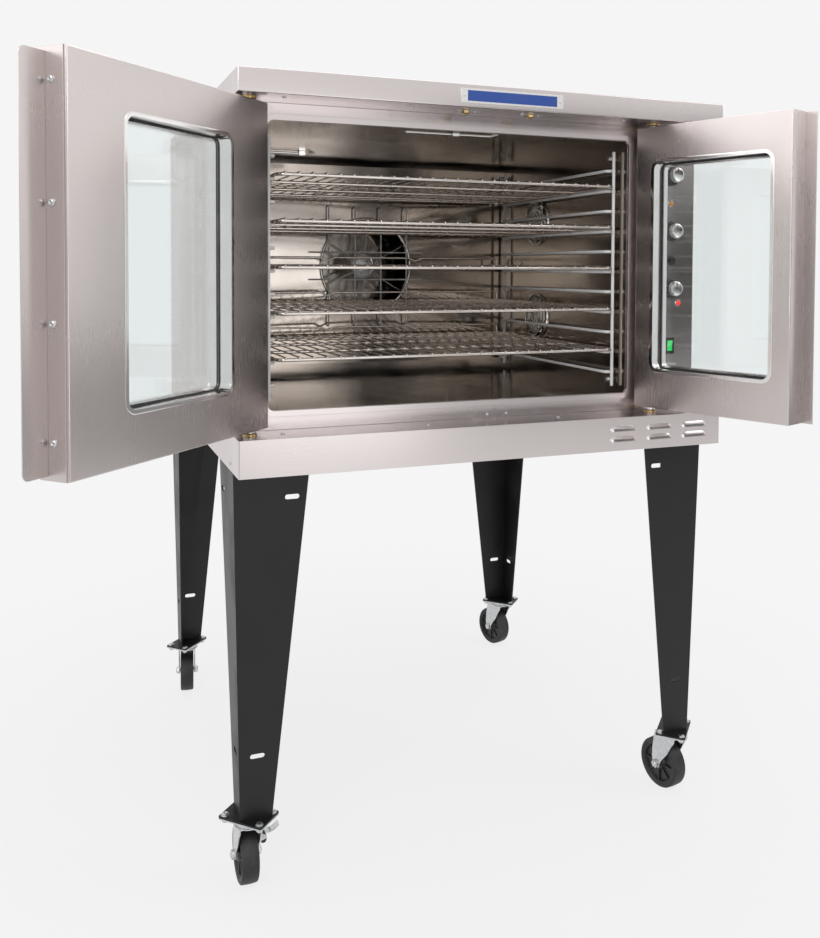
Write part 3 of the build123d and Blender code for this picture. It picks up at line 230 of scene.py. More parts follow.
def moulded(name, colour, roughness, grain=700.0, dust=0.2, dusty=(0.16, 0.15, 0.14)):
    """Moulded plastic or rubber with a fine grain and a little dust."""
    finish = Finish(name, colour, roughness)
    patch = finish.ramp(finish.noise(24.0, 5.0), (0.48, 0.0), (0.78, 1.0))
    finish.set("Base Color", finish.blend(patch * dust, colour, dusty))
    finish.set("Roughness", roughness + patch * 0.12)
    finish.set("Normal", finish.bump(finish.noise(grain, 2.0), 0.15, 0.0004))
    return finish.material


def clear_glass(name, colour, roughness=0.02, ripple=0.02):
    """Oven glass with a faint ripple."""
    finish = Finish(name, colour, roughness, Transmission_Weight=1.0, IOR=1.45)
    finish.set("Normal", finish.bump(finish.noise(7.0, 1.0), ripple, 0.002))
    return finish.material


def glow(name, colour, emission, strength):
    """A lit lens."""
    finish = Finish(name, colour, 0.2, Coat_Weight=0.6)
    shade = finish.ramp(finish.noise(300.0, 1.0), (0.2, 0.85), (0.8, 1.0))
    finish.set("Emission Color", finish.blend(shade, tuple(c * 0.6 for c in emission), emission))
    finish.set("Emission Strength", strength)
    return finish.material


def fibre(name):
    """Mineral wool board."""
    finish = Finish(name, (0.62, 0.55, 0.36), 0.95)
    fluff = finish.noise(160.0, 6.0, None, 1.2)
    finish.set("Base Color", finish.blend(fluff, (0.45, 0.38, 0.22), (0.72, 0.66, 0.46)))
    finish.set("Normal", finish.bump(fluff, 0.8, 0.004))
    return finish.material


LEVEL_STEEL = brushed_steel("steel_grained_level", "x", (0.64, 0.59, 0.585), 0.25)
UPRIGHT_STEEL = brushed_steel("steel_grained_upright", "z")
DEEP_STEEL = brushed_steel("steel_grained_front_to_back", "y")
LINER = liner_steel("cavity_steel")
WIRE = plated("bright_nickel_wire", (0.66, 0.61, 0.57), 0.17, 0.2, 60.0)
TRIM = plated("polished_trim", (0.74, 0.72, 0.71), 0.10, 0.1, 30.0, 0.06)
ZINC = plated("bright_zinc", (0.62, 0.63, 0.64), 0.26, 0.35, 140.0)
BRASS = plated("brass", (0.70, 0.50, 0.22), 0.24, 0.4, 160.0)
CAP_METAL = plated("spun_aluminium", (0.80, 0.79, 0.78), 0.24, 0.1, 120.0)
SHEATH = plated("element_sheath", (0.20, 0.17, 0.15), 0.45, 0.5, 60.0)
MOTOR = powder_coat("motor_enamel", (0.10, 0.105, 0.11))
PAINT = powder_coat("black_powder_coat")
PLASTIC = moulded("black_plastic", (0.014, 0.014, 0.015), 0.38)
RUBBER = moulded("black_rubber", (0.012, 0.012, 0.013), 0.55, 420.0, 0.35)
GLASS = clear_glass("oven_glass", (0.93, 0.955, 0.955))
LAMP_GLASS = clear_glass("pressed_lamp_glass", (0.88, 0.88, 0.84), 0.10, 0.1)
WOOL = fibre("mineral_wool")
REFLECTOR = plated("spun_reflector", (0.82, 0.80, 0.76), 0.30, 0.1, 80.0)
FROSTED = moulded("frosted_bulb", (0.78, 0.76, 0.70), 0.35, 200.0, 0.2)
FAN_STEEL = liner_steel("fan_steel", (0.34, 0.31, 0.29), 0.28)
HUB = moulded("black_nylon", (0.016, 0.016, 0.017), 0.42, 500.0, 0.25)
RED_PAINT = moulded("red_paint", (0.45, 0.02, 0.02), 0.4, 500.0, 0.1)
BLUE_ENAMEL = moulded("blue_enamel", (0.02, 0.07, 0.32), 0.22, 260.0, 0.08)
AMBER_LENS = glow("amber_lens", (0.55, 0.2, 0.02), (1.0, 0.4, 0.05), 0.3)
RED_LENS = glow("red_lens", (0.5, 0.01, 0.01), (1.0, 0.03, 0.02), 1.2)
GREEN_LENS = glow("green_lens", (0.02, 0.3, 0.06), (0.05, 0.9, 0.2), 0.7)

BY_SLOT = {"stainless": UPRIGHT_STEEL, "liner_steel": LINER, "bright_wire": WIRE, "black_paint": PAINT,
           "black_plastic": PLASTIC, "silver_knob": CAP_METAL, "window_glass": GLASS, "brass": BRASS,
           "zinc": ZINC, "black_rubber": RUBBER, "insulation": WOOL, "motor_grey": MOTOR,
           "element_sheath": SHEATH, "lamp_glass": LAMP_GLASS}
for node in frame["nodes"].values():
    for place in node.material_slots:
        place.material = BY_SLOT[place.material.name.split(".")[0]]


# ---------------------------------------------------------------- shapes
def across(axis):
    """Two directions square to an axis and to each other."""
    axis = Vector(axis).normalized()
    side = axis.orthogonal().normalized()
    return side, axis.cross(side)


def rounded_outline(width, height, corner, steps=6):
    """The points of a rectangle with round corners, centred on the origin."""
    corner = max(corner, 0.01 * MM)
    points = []
    for quarter, (sx, sy) in enumerate(((1, 1), (-1, 1), (-1, -1), (1, -1))):
        cx, cy = sx * (width / 2 - corner), sy * (height / 2 - corner)
        for i in range(steps + 1):
            angle = pi / 2 * (quarter + i / steps)
            points.append((cx + corner * cos(angle), cy + corner * sin(angle)))
    return points


def arc(centre, radius, start, end, steps=8):
    """Points along an arc in a plane, with its angles in degrees."""
    turns = [radians(start + (end - start) * i / steps) for i in range(steps + 1)]
    return [(centre[0] + radius * cos(a), centre[1] + radius * sin(a)) for a in turns]


class Form:
    """A mesh being put together from closed shells, each put where `place` says."""

    def __init__(self, place=None):
        self.place = place or Matrix()
        self.points, self.faces = [], []

    def shell(self, points, faces):
        start = len(self.points)
        self.points += [self.place @ Vector(point) for point in points]
        self.faces += [[start + i for i in face] for face in faces]

    def box(self, low, high):
        outline = ((low[0], low[1]), (high[0], low[1]), (high[0], high[1]), (low[0], high[1]))
        self.plate(outline, (0, 0, low[2]), (1, 0, 0), (0, 1, 0), high[2] - low[2])

    def plate(self, outline, origin, u, v, thickness):
        """A flat plate: an outline in the plane of u and v, thickened along u x v."""
        origin, u, v = Vector(origin), Vector(u), Vector(v)
        rise = u.cross(v).normalized() * thickness
        near = [origin + u * a + v * b for a, b in outline]
        far = [point + rise for point in near]
        count = len(near)
        walls = [(i, (i + 1) % count, count + (i + 1) % count, count + i) for i in range(count)]
        self.shell(near + far, [tuple(reversed(range(count))), tuple(range(count, 2 * count)), *walls])

    def loops(self, loops, closed=False):
        """A skin over loops of equal length; a loop of one point is a pole."""
        points, starts = [], []
        for loop in loops:
            starts.append(len(points))
            points += loop
        faces = []
        pairs = list(zip(range(len(loops)), range(1, len(loops))))
        if closed:
            pairs.append((len(loops) - 1, 0))
        for a, b in pairs:
            count = max(len(loops[a]), len(loops[b]))
            for i in range(count):
                j = (i + 1) % count
                ring = [starts[a] + i, starts[a] + j] if len(loops[a]) > 1 else [starts[a]]
                ring += [starts[b] + j, starts[b] + i] if len(loops[b]) > 1 else [starts[b]]
                faces.append(ring)
        self.shell(points, faces)

    def turned(self, profile, origin, axis, steps=48, closed=False):
        """A profile of (radius, along) pairs turned about an axis."""
        origin, axis = Vector(origin), Vector(axis).normalized()
        side, up = across(axis)
        turns = [2 * pi * i / steps for i in range(steps)]
        loops = []
        for radius, along in profile:
            centre = origin + axis * along
            if radius < 1e-7:
                loops.append([centre])
            else:
                loops.append([centre + (side * cos(a) + up * sin(a)) * radius for a in turns])
        self.loops(loops, closed)

    def rim(self, profile, size, corner, origin, u, v, closed=True):
        """A profile of (outward, along) pairs carried round a rounded rectangle."""
        origin, u, v = Vector(origin), Vector(u), Vector(v)
        normal = u.cross(v)
        loops = []
        for out, along in profile:
            outline = rounded_outline(size[0] + 2 * out, size[1] + 2 * out, corner + out)
            loops.append([origin + u * a + v * b + normal * along for a, b in outline])
        self.loops(loops, closed)

    def strip(self, outline, origin, u, v, thickness):
        """A strip of sheet: its whole outline made into a flat plate, `thickness` long."""
        self.plate(outline, origin, u, v, thickness)

    def mesh(self, name, material):
        mesh = bpy.data.meshes.new(name)
        mesh.from_pydata(self.points, [], self.faces)
        work = bmesh.new()
        work.from_mesh(mesh)
        bmesh.ops.remove_doubles(work, verts=work.verts, dist=1e-7)
        bmesh.ops.recalc_face_normals(work, faces=work.faces)
        work.to_mesh(mesh)
        work.free()
        mesh.materials.append(material)
        return mesh


def merged(name, *meshes):
    """One mesh from several of the same finish."""
    work = bmesh.new()
    for mesh in meshes:
        work.from_mesh(mesh)
    whole = bpy.data.meshes.new(name)
    work.to_mesh(whole)
    work.free()
    whole.materials.append(meshes[0].materials[0])
    return whole


def piece(name, mesh, body, slot, *stands_for, crease=35.0):
    """A finished piece, shaded smooth between its creases, that rides on a body."""
    mesh.name = name
    obj = bpy.data.objects.new(name, mesh)
    bpy.context.scene.collection.objects.link(obj)
    mesh.shade_smooth()
    mesh.set_sharp_from_angle(angle=radians(crease))
    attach(obj, body)
    if stands_for:
        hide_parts(*stands_for)
    return obj


def eased(obj, width, segments=2, angle=40.0):
    """Round a piece's sharp edges."""
    bevel = obj.modifiers.new("eased_edges", "BEVEL")
    bevel.width = width
    bevel.segments = segments
    bevel.limit_method = "ANGLE"
    bevel.angle_limit = radians(angle)
    bevel.use_clamp_overlap = True
    bevel.harden_normals = True
    return obj


def solids_of(node):
    """A CAD node's mesh, merged and split into its separate solids, as lists of faces."""
    work = bmesh.new()
    work.from_mesh(frame["nodes"][node].data)
    bmesh.ops.remove_doubles(work, verts=work.verts, dist=2e-6)
    groups, left = [], set(work.faces)
    while left:
        seed = left.pop()
        group, edge_of_group = {seed}, [seed]
        while edge_of_group:
            face = edge_of_group.pop()
            for edge in face.edges:
                for other in edge.link_faces:
                    if other in left:
                        left.remove(other)
                        group.add(other)
                        edge_of_group.append(other)
        groups.append(group)
    return work, groups


def box_of(points):
    points = list(points)
    return Vector(map(min, *points)), Vector(map(max, *points))


def solid_boxes(node):
    """The lowest and highest corner of each solid in a CAD node."""
    work, groups = solids_of(node)
    boxes = [box_of(vert.co for face in group for vert in face.verts) for group in groups]
    work.free()
    return sorted(boxes, key=lambda box: tuple(round(c, 5) for c in box[0]))


def skin_area(work):
    """The area of a mesh as it's really cut into triangles."""
    return sum((b.vert.co - a.vert.co).cross(c.vert.co - a.vert.co).length / 2 for a, b, c in work.calc_loop_triangles())


def dressed(node, material, slot, edge=0.5 * MM, name=None, keep=None, small_faces=False):
    """A CAD node's own shape with its edges eased; `keep` picks solids by their boxes."""
    work, groups = solids_of(node)
    if keep:
        lost = [face for group in groups for face in group
                if not keep(*box_of(v.co for f in group for v in f.verts))]
        bmesh.ops.delete(work, geom=lost, context="FACES")
    mesh = bpy.data.meshes.new(name or node)
    work.to_mesh(mesh)
    whole = skin_area(work)
    bmesh.ops.dissolve_limit(work, angle_limit=radians(0.8), verts=work.verts, edges=work.edges)
    if small_faces or abs(skin_area(work) - whole) > whole * 1e-4:      # else an opening could close over
        work.free()
        work = bmesh.new()
        work.from_mesh(mesh)
        bmesh.ops.join_triangles(work, faces=work.faces, angle_face_threshold=radians(0.5), angle_shape_threshold=pi)
    work.to_mesh(mesh)
    work.free()
    mesh.materials.append(material)
    obj = piece(name or f"{node}_sheet", mesh, BODY_OF[node], slot, node)
    return eased(obj, edge) if edge else obj


def box_in(node, place):
    """A CAD node's box in the axes of a local frame."""
    back = place.inverted()
    return box_of(back @ v.co for v in frame["nodes"][node].data.vertices)


# ---------------------------------------------------------------- recipes for what repeats
def recipe(name, *sockets):
    """A geometry tree with named inputs, and a wire from each of them."""
    tree = bpy.data.node_groups.new(name, "GeometryNodeTree")
    kinds = {"Geometry": "Geometry", "Count": "Int", "Rows": "Int", "Sides": "Int", "Seed": "Int",
             "Step": "Vector", "Row Step": "Vector", "Centre": "Vector", "Axis": "Vector",
             "Finish": "Material", "Head": "Object"}
    for label in sockets:
        kind = kinds.get(label, "Float")
        tree.interface.new_socket(label, in_out="INPUT", socket_type=f"NodeSocket{kind}")
    tree.interface.new_socket("Geometry", in_out="OUTPUT", socket_type="NodeSocketGeometry")
    entry = tree.nodes.new("NodeGroupInput")
    return tree, [Wire(tree, entry.outputs[label]) for label in sockets]


def end_recipe(tree, shape, finish):
    """Every recipe ends as real geometry in one finish."""
    real = add_node(tree, "GeometryNodeRealizeInstances", None, {0: shape})
    coated = add_node(tree, "GeometryNodeSetMaterial", None, {"Geometry": real, "Material": finish})
    add_node(tree, "NodeGroupOutput", None, {0: coated})
    return tree


def line_of(tree, count, step):
    return add_node(tree, "GeometryNodeMeshLine", {"mode": "OFFSET"}, {"Count": count, "Offset": step})


def copies_on(tree, points, shape, rotation=None):
    inputs = {"Points": points, "Instance": shape}
    if rotation:
        inputs["Rotation"] = rotation
    return add_node(tree, "GeometryNodeInstanceOnPoints", None, inputs)


def wire_recipe():
    """Round wire along each run of edges, bent at its corners, and copied in a row."""
    tree, (path, diameter, bend, sides, count, step, finish) = recipe(
        "bent_wire", "Geometry", "Diameter", "Bend", "Sides", "Count", "Step", "Finish")
    line = add_node(tree, "GeometryNodeMeshToCurve", None, {"Mesh": path})
    bent = add_node(tree, "GeometryNodeFilletCurve", {"mode": "POLY"},
                    {"Curve": line, "Count": BEND_STEPS, "Radius": bend, "Limit Radius": True})
    section = add_node(tree, "GeometryNodeCurvePrimitiveCircle", None,
                       {"Resolution": sides, "Radius": diameter / 2})
    tube = add_node(tree, "GeometryNodeCurveToMesh", None,
                    {"Curve": bent, "Profile Curve": section, "Fill Caps": True})
    return end_recipe(tree, copies_on(tree, line_of(tree, count, step), tube), finish)


def row_recipe():
    """Copies of a shape in rows."""
    tree, (shape, count, step, rows, row_step, finish) = recipe(
        "rows", "Geometry", "Count", "Step", "Rows", "Row Step", "Finish")
    row = copies_on(tree, line_of(tree, count, step), shape)
    return end_recipe(tree, copies_on(tree, line_of(tree, rows, row_step), row), finish)


def round_recipe():
    """Copies of a shape turned round a centre, over a sweep in radians."""
    tree, (shape, count, centre, axis, sweep, finish) = recipe(
        "round_a_centre", "Geometry", "Count", "Centre", "Axis", "Sweep", "Finish")
    row = copies_on(tree, line_of(tree, count, (0.0, 0.0, 0.0)), shape)
    angle = add_node(tree, "GeometryNodeInputIndex") * sweep / count
    turn = add_node(tree, "FunctionNodeAxisAngleToRotation", None, {"Axis": axis, "Angle": angle})
    turned = add_node(tree, "GeometryNodeRotateInstances", None,
                      {"Instances": row, "Rotation": turn, "Pivot Point": centre, "Local Space": False})
    return end_recipe(tree, turned, finish)


def fixing_recipe():
    """A screw or bolt head on each point, turned to face the way its point faces."""
    tree, (points, head, seed, finish) = recipe("fixings", "Geometry", "Head", "Seed", "Finish")
    facing = add_node(tree, "GeometryNodeInputNamedAttribute", {"data_type": "FLOAT_VECTOR"},
                      {"Name": "facing"})
    turn = add_node(tree, "FunctionNodeAlignRotationToVector", {"axis": "Z"}, {"Vector": facing})
    spin = add_node(tree, "FunctionNodeRandomValue", {"data_type": "FLOAT"},
                    {2: 0.0, 3: 2 * pi, "Seed": seed}, 1)
    tightened = add_node(tree, "FunctionNodeAxisAngleToRotation", None, {"Axis": (0, 0, 1), "Angle": spin})
    turn = add_node(tree, "FunctionNodeRotateRotation", {"rotation_space": "LOCAL"}, {0: turn, 1: tightened})
    shape = add_node(tree, "GeometryNodeObjectInfo", None, {"Object": head}, "Geometry")
    return end_recipe(tree, copies_on(tree, points, shape, turn), finish)


def grown(tree, base, **values):
    """The plain mesh that a recipe makes from a base mesh; an input Row Step is given as row_step."""
    carrier = bpy.data.objects.new("carrier", base)
    bpy.context.scene.collection.objects.link(carrier)
    grow = carrier.modifiers.new("grow", "NODES")
    grow.node_group = tree
    for socket in tree.interface.items_tree:
        key = socket.name.lower().replace(" ", "_")
        if socket.in_out == "INPUT" and key in values:
            grow[socket.identifier] = values[key]
    graph = bpy.context.evaluated_depsgraph_get()
    mesh = bpy.data.meshes.new_from_object(carrier.evaluated_get(graph), depsgraph=graph)
    carrier.modifiers.clear()
    bpy.data.objects.remove(carrier)
    return mesh


BEND_STEPS = 5
WIRE_SIDES = 12
WIRES, ROWS, ROUND, FIXINGS = wire_recipe(), row_recipe(), round_recipe(), fixing_recipe()


def runs(*paths, closed=False):
    """A mesh of edges, one run of them for each path."""
    points, edges = [], []
    for path in paths:
        start, count = len(points), len(path)
        points += [Vector(p) for p in path]
        edges += [(start + i, start + i + 1) for i in range(count - 1)]
        if closed:
            edges.append((start + count - 1, start))
    mesh = bpy.data.meshes.new("runs")
    mesh.from_pydata(points, edges, [])
    return mesh


def wires(paths, diameter, bend, finish, count=1, step=(0.0, 0.0, 0.0), closed=False, sides=WIRE_SIDES):
    return grown(WIRES, runs(*paths, closed=closed), diameter=diameter, bend=bend, sides=sides,
                 count=count, step=step, finish=finish)


def fixings(spots, head, finish, seed=1):
    """Heads on spots, each a point and the way it faces."""
    mesh = bpy.data.meshes.new("spots")
    mesh.from_pydata([Vector(point) for point, _ in spots], [], [])
    facing = mesh.attributes.new("facing", "FLOAT_VECTOR", "POINT")
    for item, (_, direction) in zip(facing.data, spots):
        item.vector = Vector(direction)
    return grown(FIXINGS, mesh, head=head, seed=seed, finish=finish)


# ---------------------------------------------------------------- small hardware
def hidden_pattern(mesh):
    """A shape that a recipe copies; it isn't shown itself."""
    obj = bpy.data.objects.new(mesh.name, mesh)
    bpy.context.scene.collection.objects.link(obj)
    mesh.shade_smooth()
    mesh.set_sharp_from_angle(angle=radians(35))
    obj.hide_render = True
    obj.hide_viewport = True
    return obj


def cross_recess_head(radius, height, name, finish):
    """A pan head screw with a cross recess, standing on Z 0."""
    form = Form()
    dome = [(radius, 0), (radius, height * 0.25)]
    dome += [(radius - height + height * cos(a), height * 0.25 + height * 0.75 * sin(a))
             for a in (radians(25), radians(50), radians(75))]
    slot = radius * 0.42
    form.turned([(0, 0), *dome, (slot * 1.15, height), (slot, height * 0.99), (slot * 0.5, height * 0.55), (0, height * 0.5)],
                (0, 0, 0), (0, 0, 1), 24)
    return hidden_pattern(form.mesh(name, finish))


def hex_head(across_flats, height, washer, name, finish):
    """A hexagon head with chamfered corners on a washer, standing on Z 0."""
    form = Form()
    form.turned([(0, 0), (washer, 0), (washer, 0.9 * MM), (washer * 0.9, 1.2 * MM), (0, 1.2 * MM)], (0, 0, 0), (0, 0, 1), 28)
    corner = across_flats / sqrt(3)
    base = 1.2 * MM
    loops = []
    for share, rise in ((0.0, base), (1.0, base), (1.0, base + height * 0.8), (0.86, base + height), (0.0, base + height)):
        if share == 0:
            loops.append([Vector((0, 0, rise))])
        else:
            loops.append([Vector((corner * share * cos(a), corner * share * sin(a), rise))
                          for a in (pi / 3 * i for i in range(6))])
    form.loops(loops)
    return hidden_pattern(form.mesh(name, finish))


SMALL_SCREW = cross_recess_head(3.6 * MM, 1.8 * MM, "small_screw_head", ZINC)
PAN_SCREW = cross_recess_head(5.5 * MM, 3.0 * MM, "pan_screw_head", ZINC)
RIVET = cross_recess_head(2.6 * MM, 1.0 * MM, "nameplate_rivet_head", ZINC)
PLATE_BOLT = hex_head(11.0 * MM, 2.6 * MM, 7.5 * MM, "plate_bolt_head", ZINC)
PLATE_NUT = hex_head(11.0 * MM, 3.6 * MM, 7.5 * MM, "plate_bolt_nut", ZINC)
GUIDE_NUT = hex_head(9.0 * MM, 3.0 * MM, 5.5 * MM, "guide_nut", ZINC)


# ---------------------------------------------------------------- casing
def folded_tray(name, z_low, z_high, flange_z):
    """The lower cowl: a folded front with side returns, closed above and below."""
    form = Form()
    depth = FRONT - COWL_FRONT
    bend = 2.2 * MM
    left, right = SIDE_L, SIDE_R
    outer = [(left, FRONT)] + [(x, y) for x, y in arc((left + bend, COWL_FRONT + bend), bend, 180, 270)]
    outer += [(x, y) for x, y in arc((right - bend, COWL_FRONT + bend), bend, 270, 360)] + [(right, FRONT)]
    inner = [(right - SHEET, FRONT)] + [(right - SHEET, COWL_FRONT + SHEET), (left + SHEET, COWL_FRONT + SHEET)]
    inner += [(left + SHEET, FRONT)]
    form.plate(outer + inner, (0, 0, z_low), (1, 0, 0), (0, 1, 0), z_high - z_low)
    inset = SHEET
    under = (z_low, z_low + SHEET)
    for (low, high), back in ((under, FRONT), (flange_z, FACE_Y)):
        form.box((left + inset, COWL_FRONT + SHEET, low), (right - inset, back, high))
    obj = piece(name, form.mesh(name, LEVEL_STEEL), "oven", "stainless", "bottom_cowl")
    return eased(obj, 0.35 * MM)


def louvre_hood(width, height, proud, wall):
    """One pressed louvre, open along its lower edge, with its base on Y 0 and its middle at X 0, Z 0."""
    across_steps, down_steps = 18, 7
    outer, inner = [], []
    for i in range(across_steps + 1):
        u = -1 + 2 * i / across_steps
        end = sqrt(max(0.0, 1 - abs(u) ** 5))
        for j in range(down_steps + 1):
            v = j / down_steps
            bulge = sin(v * pi / 2) ** 0.8 * end
            z = height * (0.5 - v) * (0.35 + 0.65 * end) - height * 0.325 * (1 - end)
            outer.append(Vector((u * width / 2, -proud * bulge, z)))
            inner.append(Vector((u * width / 2, -proud * bulge + wall, z)))
    form = Form()
    row = down_steps + 1
    total = len(outer)
    faces = []
    for i in range(across_steps):
        for j in range(down_steps):
            a, b, c, d = i * row + j, (i + 1) * row + j, (i + 1) * row + j + 1, i * row + j + 1
            faces += [(a, b, c, d), (total + d, total + c, total + b, total + a)]
    for i in range(across_steps):
        for j in (0, down_steps):
            a, b = i * row + j, (i + 1) * row + j
            faces.append((a, b, total + b, total + a))
    for i in (0, across_steps):
        for j in range(down_steps):
            a, b = i * row + j, i * row + j + 1
            faces.append((a, b, total + b, total + a))
    form.shell(outer + inner, faces)
    return form


LOUVRE_X = (258 * MM, 340 * MM, 422 * MM)
LOUVRE_RISE = (43 * MM, 23 * MM)
LOUVRE_SIZE = (58 * MM, 11 * MM)


def make_louvres():
    first = Matrix.Translation((LOUVRE_X[0], COWL_FRONT + 0.05 * MM, BASE_Z + LOUVRE_RISE[0]))
    hood = louvre_hood(*LOUVRE_SIZE, 3.4 * MM, 0.8 * MM)
    hood.points = [first @ p for p in hood.points]
    step = (LOUVRE_X[1] - LOUVRE_X[0], 0, 0)
    drop = (0, 0, LOUVRE_RISE[1] - LOUVRE_RISE[0])
    rows = dict(count=len(LOUVRE_X), step=step, rows=len(LOUVRE_RISE), row_step=drop)
    piece("louvres", grown(ROWS, hood.mesh("louvre", LEVEL_STEEL), finish=LEVEL_STEEL, **rows), "oven", "stainless")
    # Painted shade: a thin black strip under each louvre's open lower edge stands for the shade inside the opening,
    # since the cowl behind is not cut open.
    throat = Form()
    x, z = LOUVRE_X[0], BASE_Z + LOUVRE_RISE[0]
    half = LOUVRE_SIZE[0] / 2 - 3 * MM
    throat.box((x - half, COWL_FRONT - 0.15 * MM, z - LOUVRE_SIZE[1] / 2), (x + half, COWL_FRONT, z - 1 * MM))
    piece("louvre_throats", grown(ROWS, throat.mesh("throat", PAINT), finish=PAINT, **rows), "oven", "black_paint")


def make_casing():
    dressed("top_cowl", LEVEL_STEEL, "stainless", 0.8 * MM)
    folded_tray("bottom_cowl_tray", BASE_Z, LOW_COWL_Z, (LOW_COWL_Z - SHEET, LOW_COWL_Z))
    make_louvres()
    for side in ("left", "right"):
        dressed(f"{side}_side_panel", DEEP_STEEL, "stainless", 0.5 * MM)
    dressed("top_panel", DEEP_STEEL, "stainless", 0.5 * MM)
    dressed("back_panel", LEVEL_STEEL, "stainless", 0.3 * MM)
    spots = []
    for x in (SIDE_L + 14 * MM, -0.16, 0.16, SIDE_R - 14 * MM):
        spots += [((x, BACK, BASE_Z + 14 * MM), (0, 1, 0)), ((x, BACK, ROOF_Z - 14 * MM), (0, 1, 0))]
    for z in (BASE_Z + 0.22, BASE_Z + 0.45):
        spots += [((x, BACK, z), (0, 1, 0)) for x in (SIDE_L + 14 * MM, SIDE_R - 14 * MM)]
    for x, out in ((SIDE_L, -1), (SIDE_R, 1)):
        for y in (FRONT + 25 * MM, 0.02, BACK - 25 * MM):
            spots.append(((x, y, BASE_Z + 12 * MM), (out, 0, 0)))
    for x in (-0.40, -0.17, 0.05, 0.27):
        spots.append(((x, COWL_FRONT + 30 * MM, TOP_COWL_Z), (0, 0, -1)))
    for x in (-0.40, -0.13, 0.14, 0.41):
        spots.append(((x, COWL_FRONT + 44 * MM, LOW_COWL_Z), (0, 0, 1)))
    piece("casing_screws", fixings(spots, SMALL_SCREW, ZINC, 3), "oven", "zinc")


def make_face():
    dressed("front_frame", LEVEL_STEEL, "stainless", 0.5 * MM, small_faces=True)
    dressed("control_panel", UPRIGHT_STEEL, "stainless", 0.3 * MM)


# ---------------------------------------------------------------- cavity
INLET_R = 111 * MM


def make_baffle():
    """The back sheet of the cavity, with a rolled rim round the fan inlet."""
    form = Form()
    low, high = baffle_low, baffle_high
    wall = SHEET
    corners = [atan2_of(x - FAN_X, z - FAN_Z) for x in (low.x, high.x) for z in (low.z, high.z)]
    turns = sorted({2 * pi * i / 96 - pi for i in range(96)} | set(corners))
    lip = 3.2 * MM
    profile = [(INLET_R + 9 * MM, 0.0), (INLET_R + 7 * MM, -0.5 * MM)]
    profile += [(INLET_R + lip + lip * cos(a), -0.6 * MM - lip * 0.75 * sin(a)) for a in
                (radians(20), radians(60), radians(90), radians(130), radians(170))]
    profile += [(INLET_R + 0.4 * MM, 2.5 * MM), (INLET_R + 1.6 * MM, 6.0 * MM)]
    front, back = [], []
    for a in turns:
        dx, dz = cos(a), sin(a)
        reach = min([(edge - FAN_X) / dx for edge in (low.x, high.x) if abs(dx) > 1e-9 and (edge - FAN_X) / dx > 0]
                    + [(edge - FAN_Z) / dz for edge in (low.z, high.z) if abs(dz) > 1e-9 and (edge - FAN_Z) / dz > 0])
        front.append([Vector((FAN_X + dx * reach, BAFFLE_Y, FAN_Z + dz * reach))]
                     + [Vector((FAN_X + dx * r, BAFFLE_Y + y, FAN_Z + dz * r)) for r, y in profile])
        back.append([Vector((FAN_X + dx * reach, BAFFLE_Y + wall, FAN_Z + dz * reach))]
                    + [Vector((FAN_X + dx * (r + 0.6 * MM), BAFFLE_Y + max(y, -0.4 * MM) + wall, FAN_Z + dz * (r + 0.6 * MM)))
                       for r, y in profile])
    loops = [[ray[i] for ray in front] for i in range(len(profile) + 1)]
    loops += [[ray[i] for ray in back] for i in reversed(range(len(profile) + 1))]
    form.loops(loops, closed=True)
    piece("baffle_sheet", form.mesh("baffle_sheet", LINER), "oven", "liner_steel", "baffle_panel", crease=28)
    spots = [((x, BAFFLE_Y, z), (0, -1, 0)) for x in (low.x + 0.03, high.x - 0.03)
             for z in (low.z + 0.03, (low.z + high.z) / 2, high.z - 0.03)]
    piece("baffle_screws", fixings(spots, PAN_SCREW, ZINC, 5), "oven", "zinc")


def atan2_of(x, z):
    from math import atan2
    return atan2(z, x)


GUARD_WIRE = 3.2 * MM
GUARD_PITCH = 66 * MM


def make_guard():
    """Wires across the fan inlet, standing off the baffle on their bent ends."""
    low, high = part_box("fan_guard")
    half = (high.z - low.z - GUARD_WIRE) / 2
    near = low.y + GUARD_WIRE / 2
    level = near + GUARD_WIRE
    x, z = FAN_X - 1.5 * GUARD_PITCH, FAN_Z - 0.5 * GUARD_PITCH
    upright = [(x, BAFFLE_Y, FAN_Z - half), (x, near, FAN_Z - half), (x, near, FAN_Z + half), (x, BAFFLE_Y, FAN_Z + half)]
    flat = [(FAN_X - half, BAFFLE_Y, z), (FAN_X - half, level, z), (FAN_X + half, level, z), (FAN_X + half, BAFFLE_Y, z)]
    mesh = merged("fan_guard_wires",
                  wires([upright], GUARD_WIRE, 7 * MM, WIRE, 4, (GUARD_PITCH, 0, 0)),
                  wires([flat], GUARD_WIRE, 7 * MM, WIRE, 2, (0, 0, GUARD_PITCH)))
    piece("fan_guard_wires", mesh, "oven", "bright_wire", "fan_guard", crease=50)


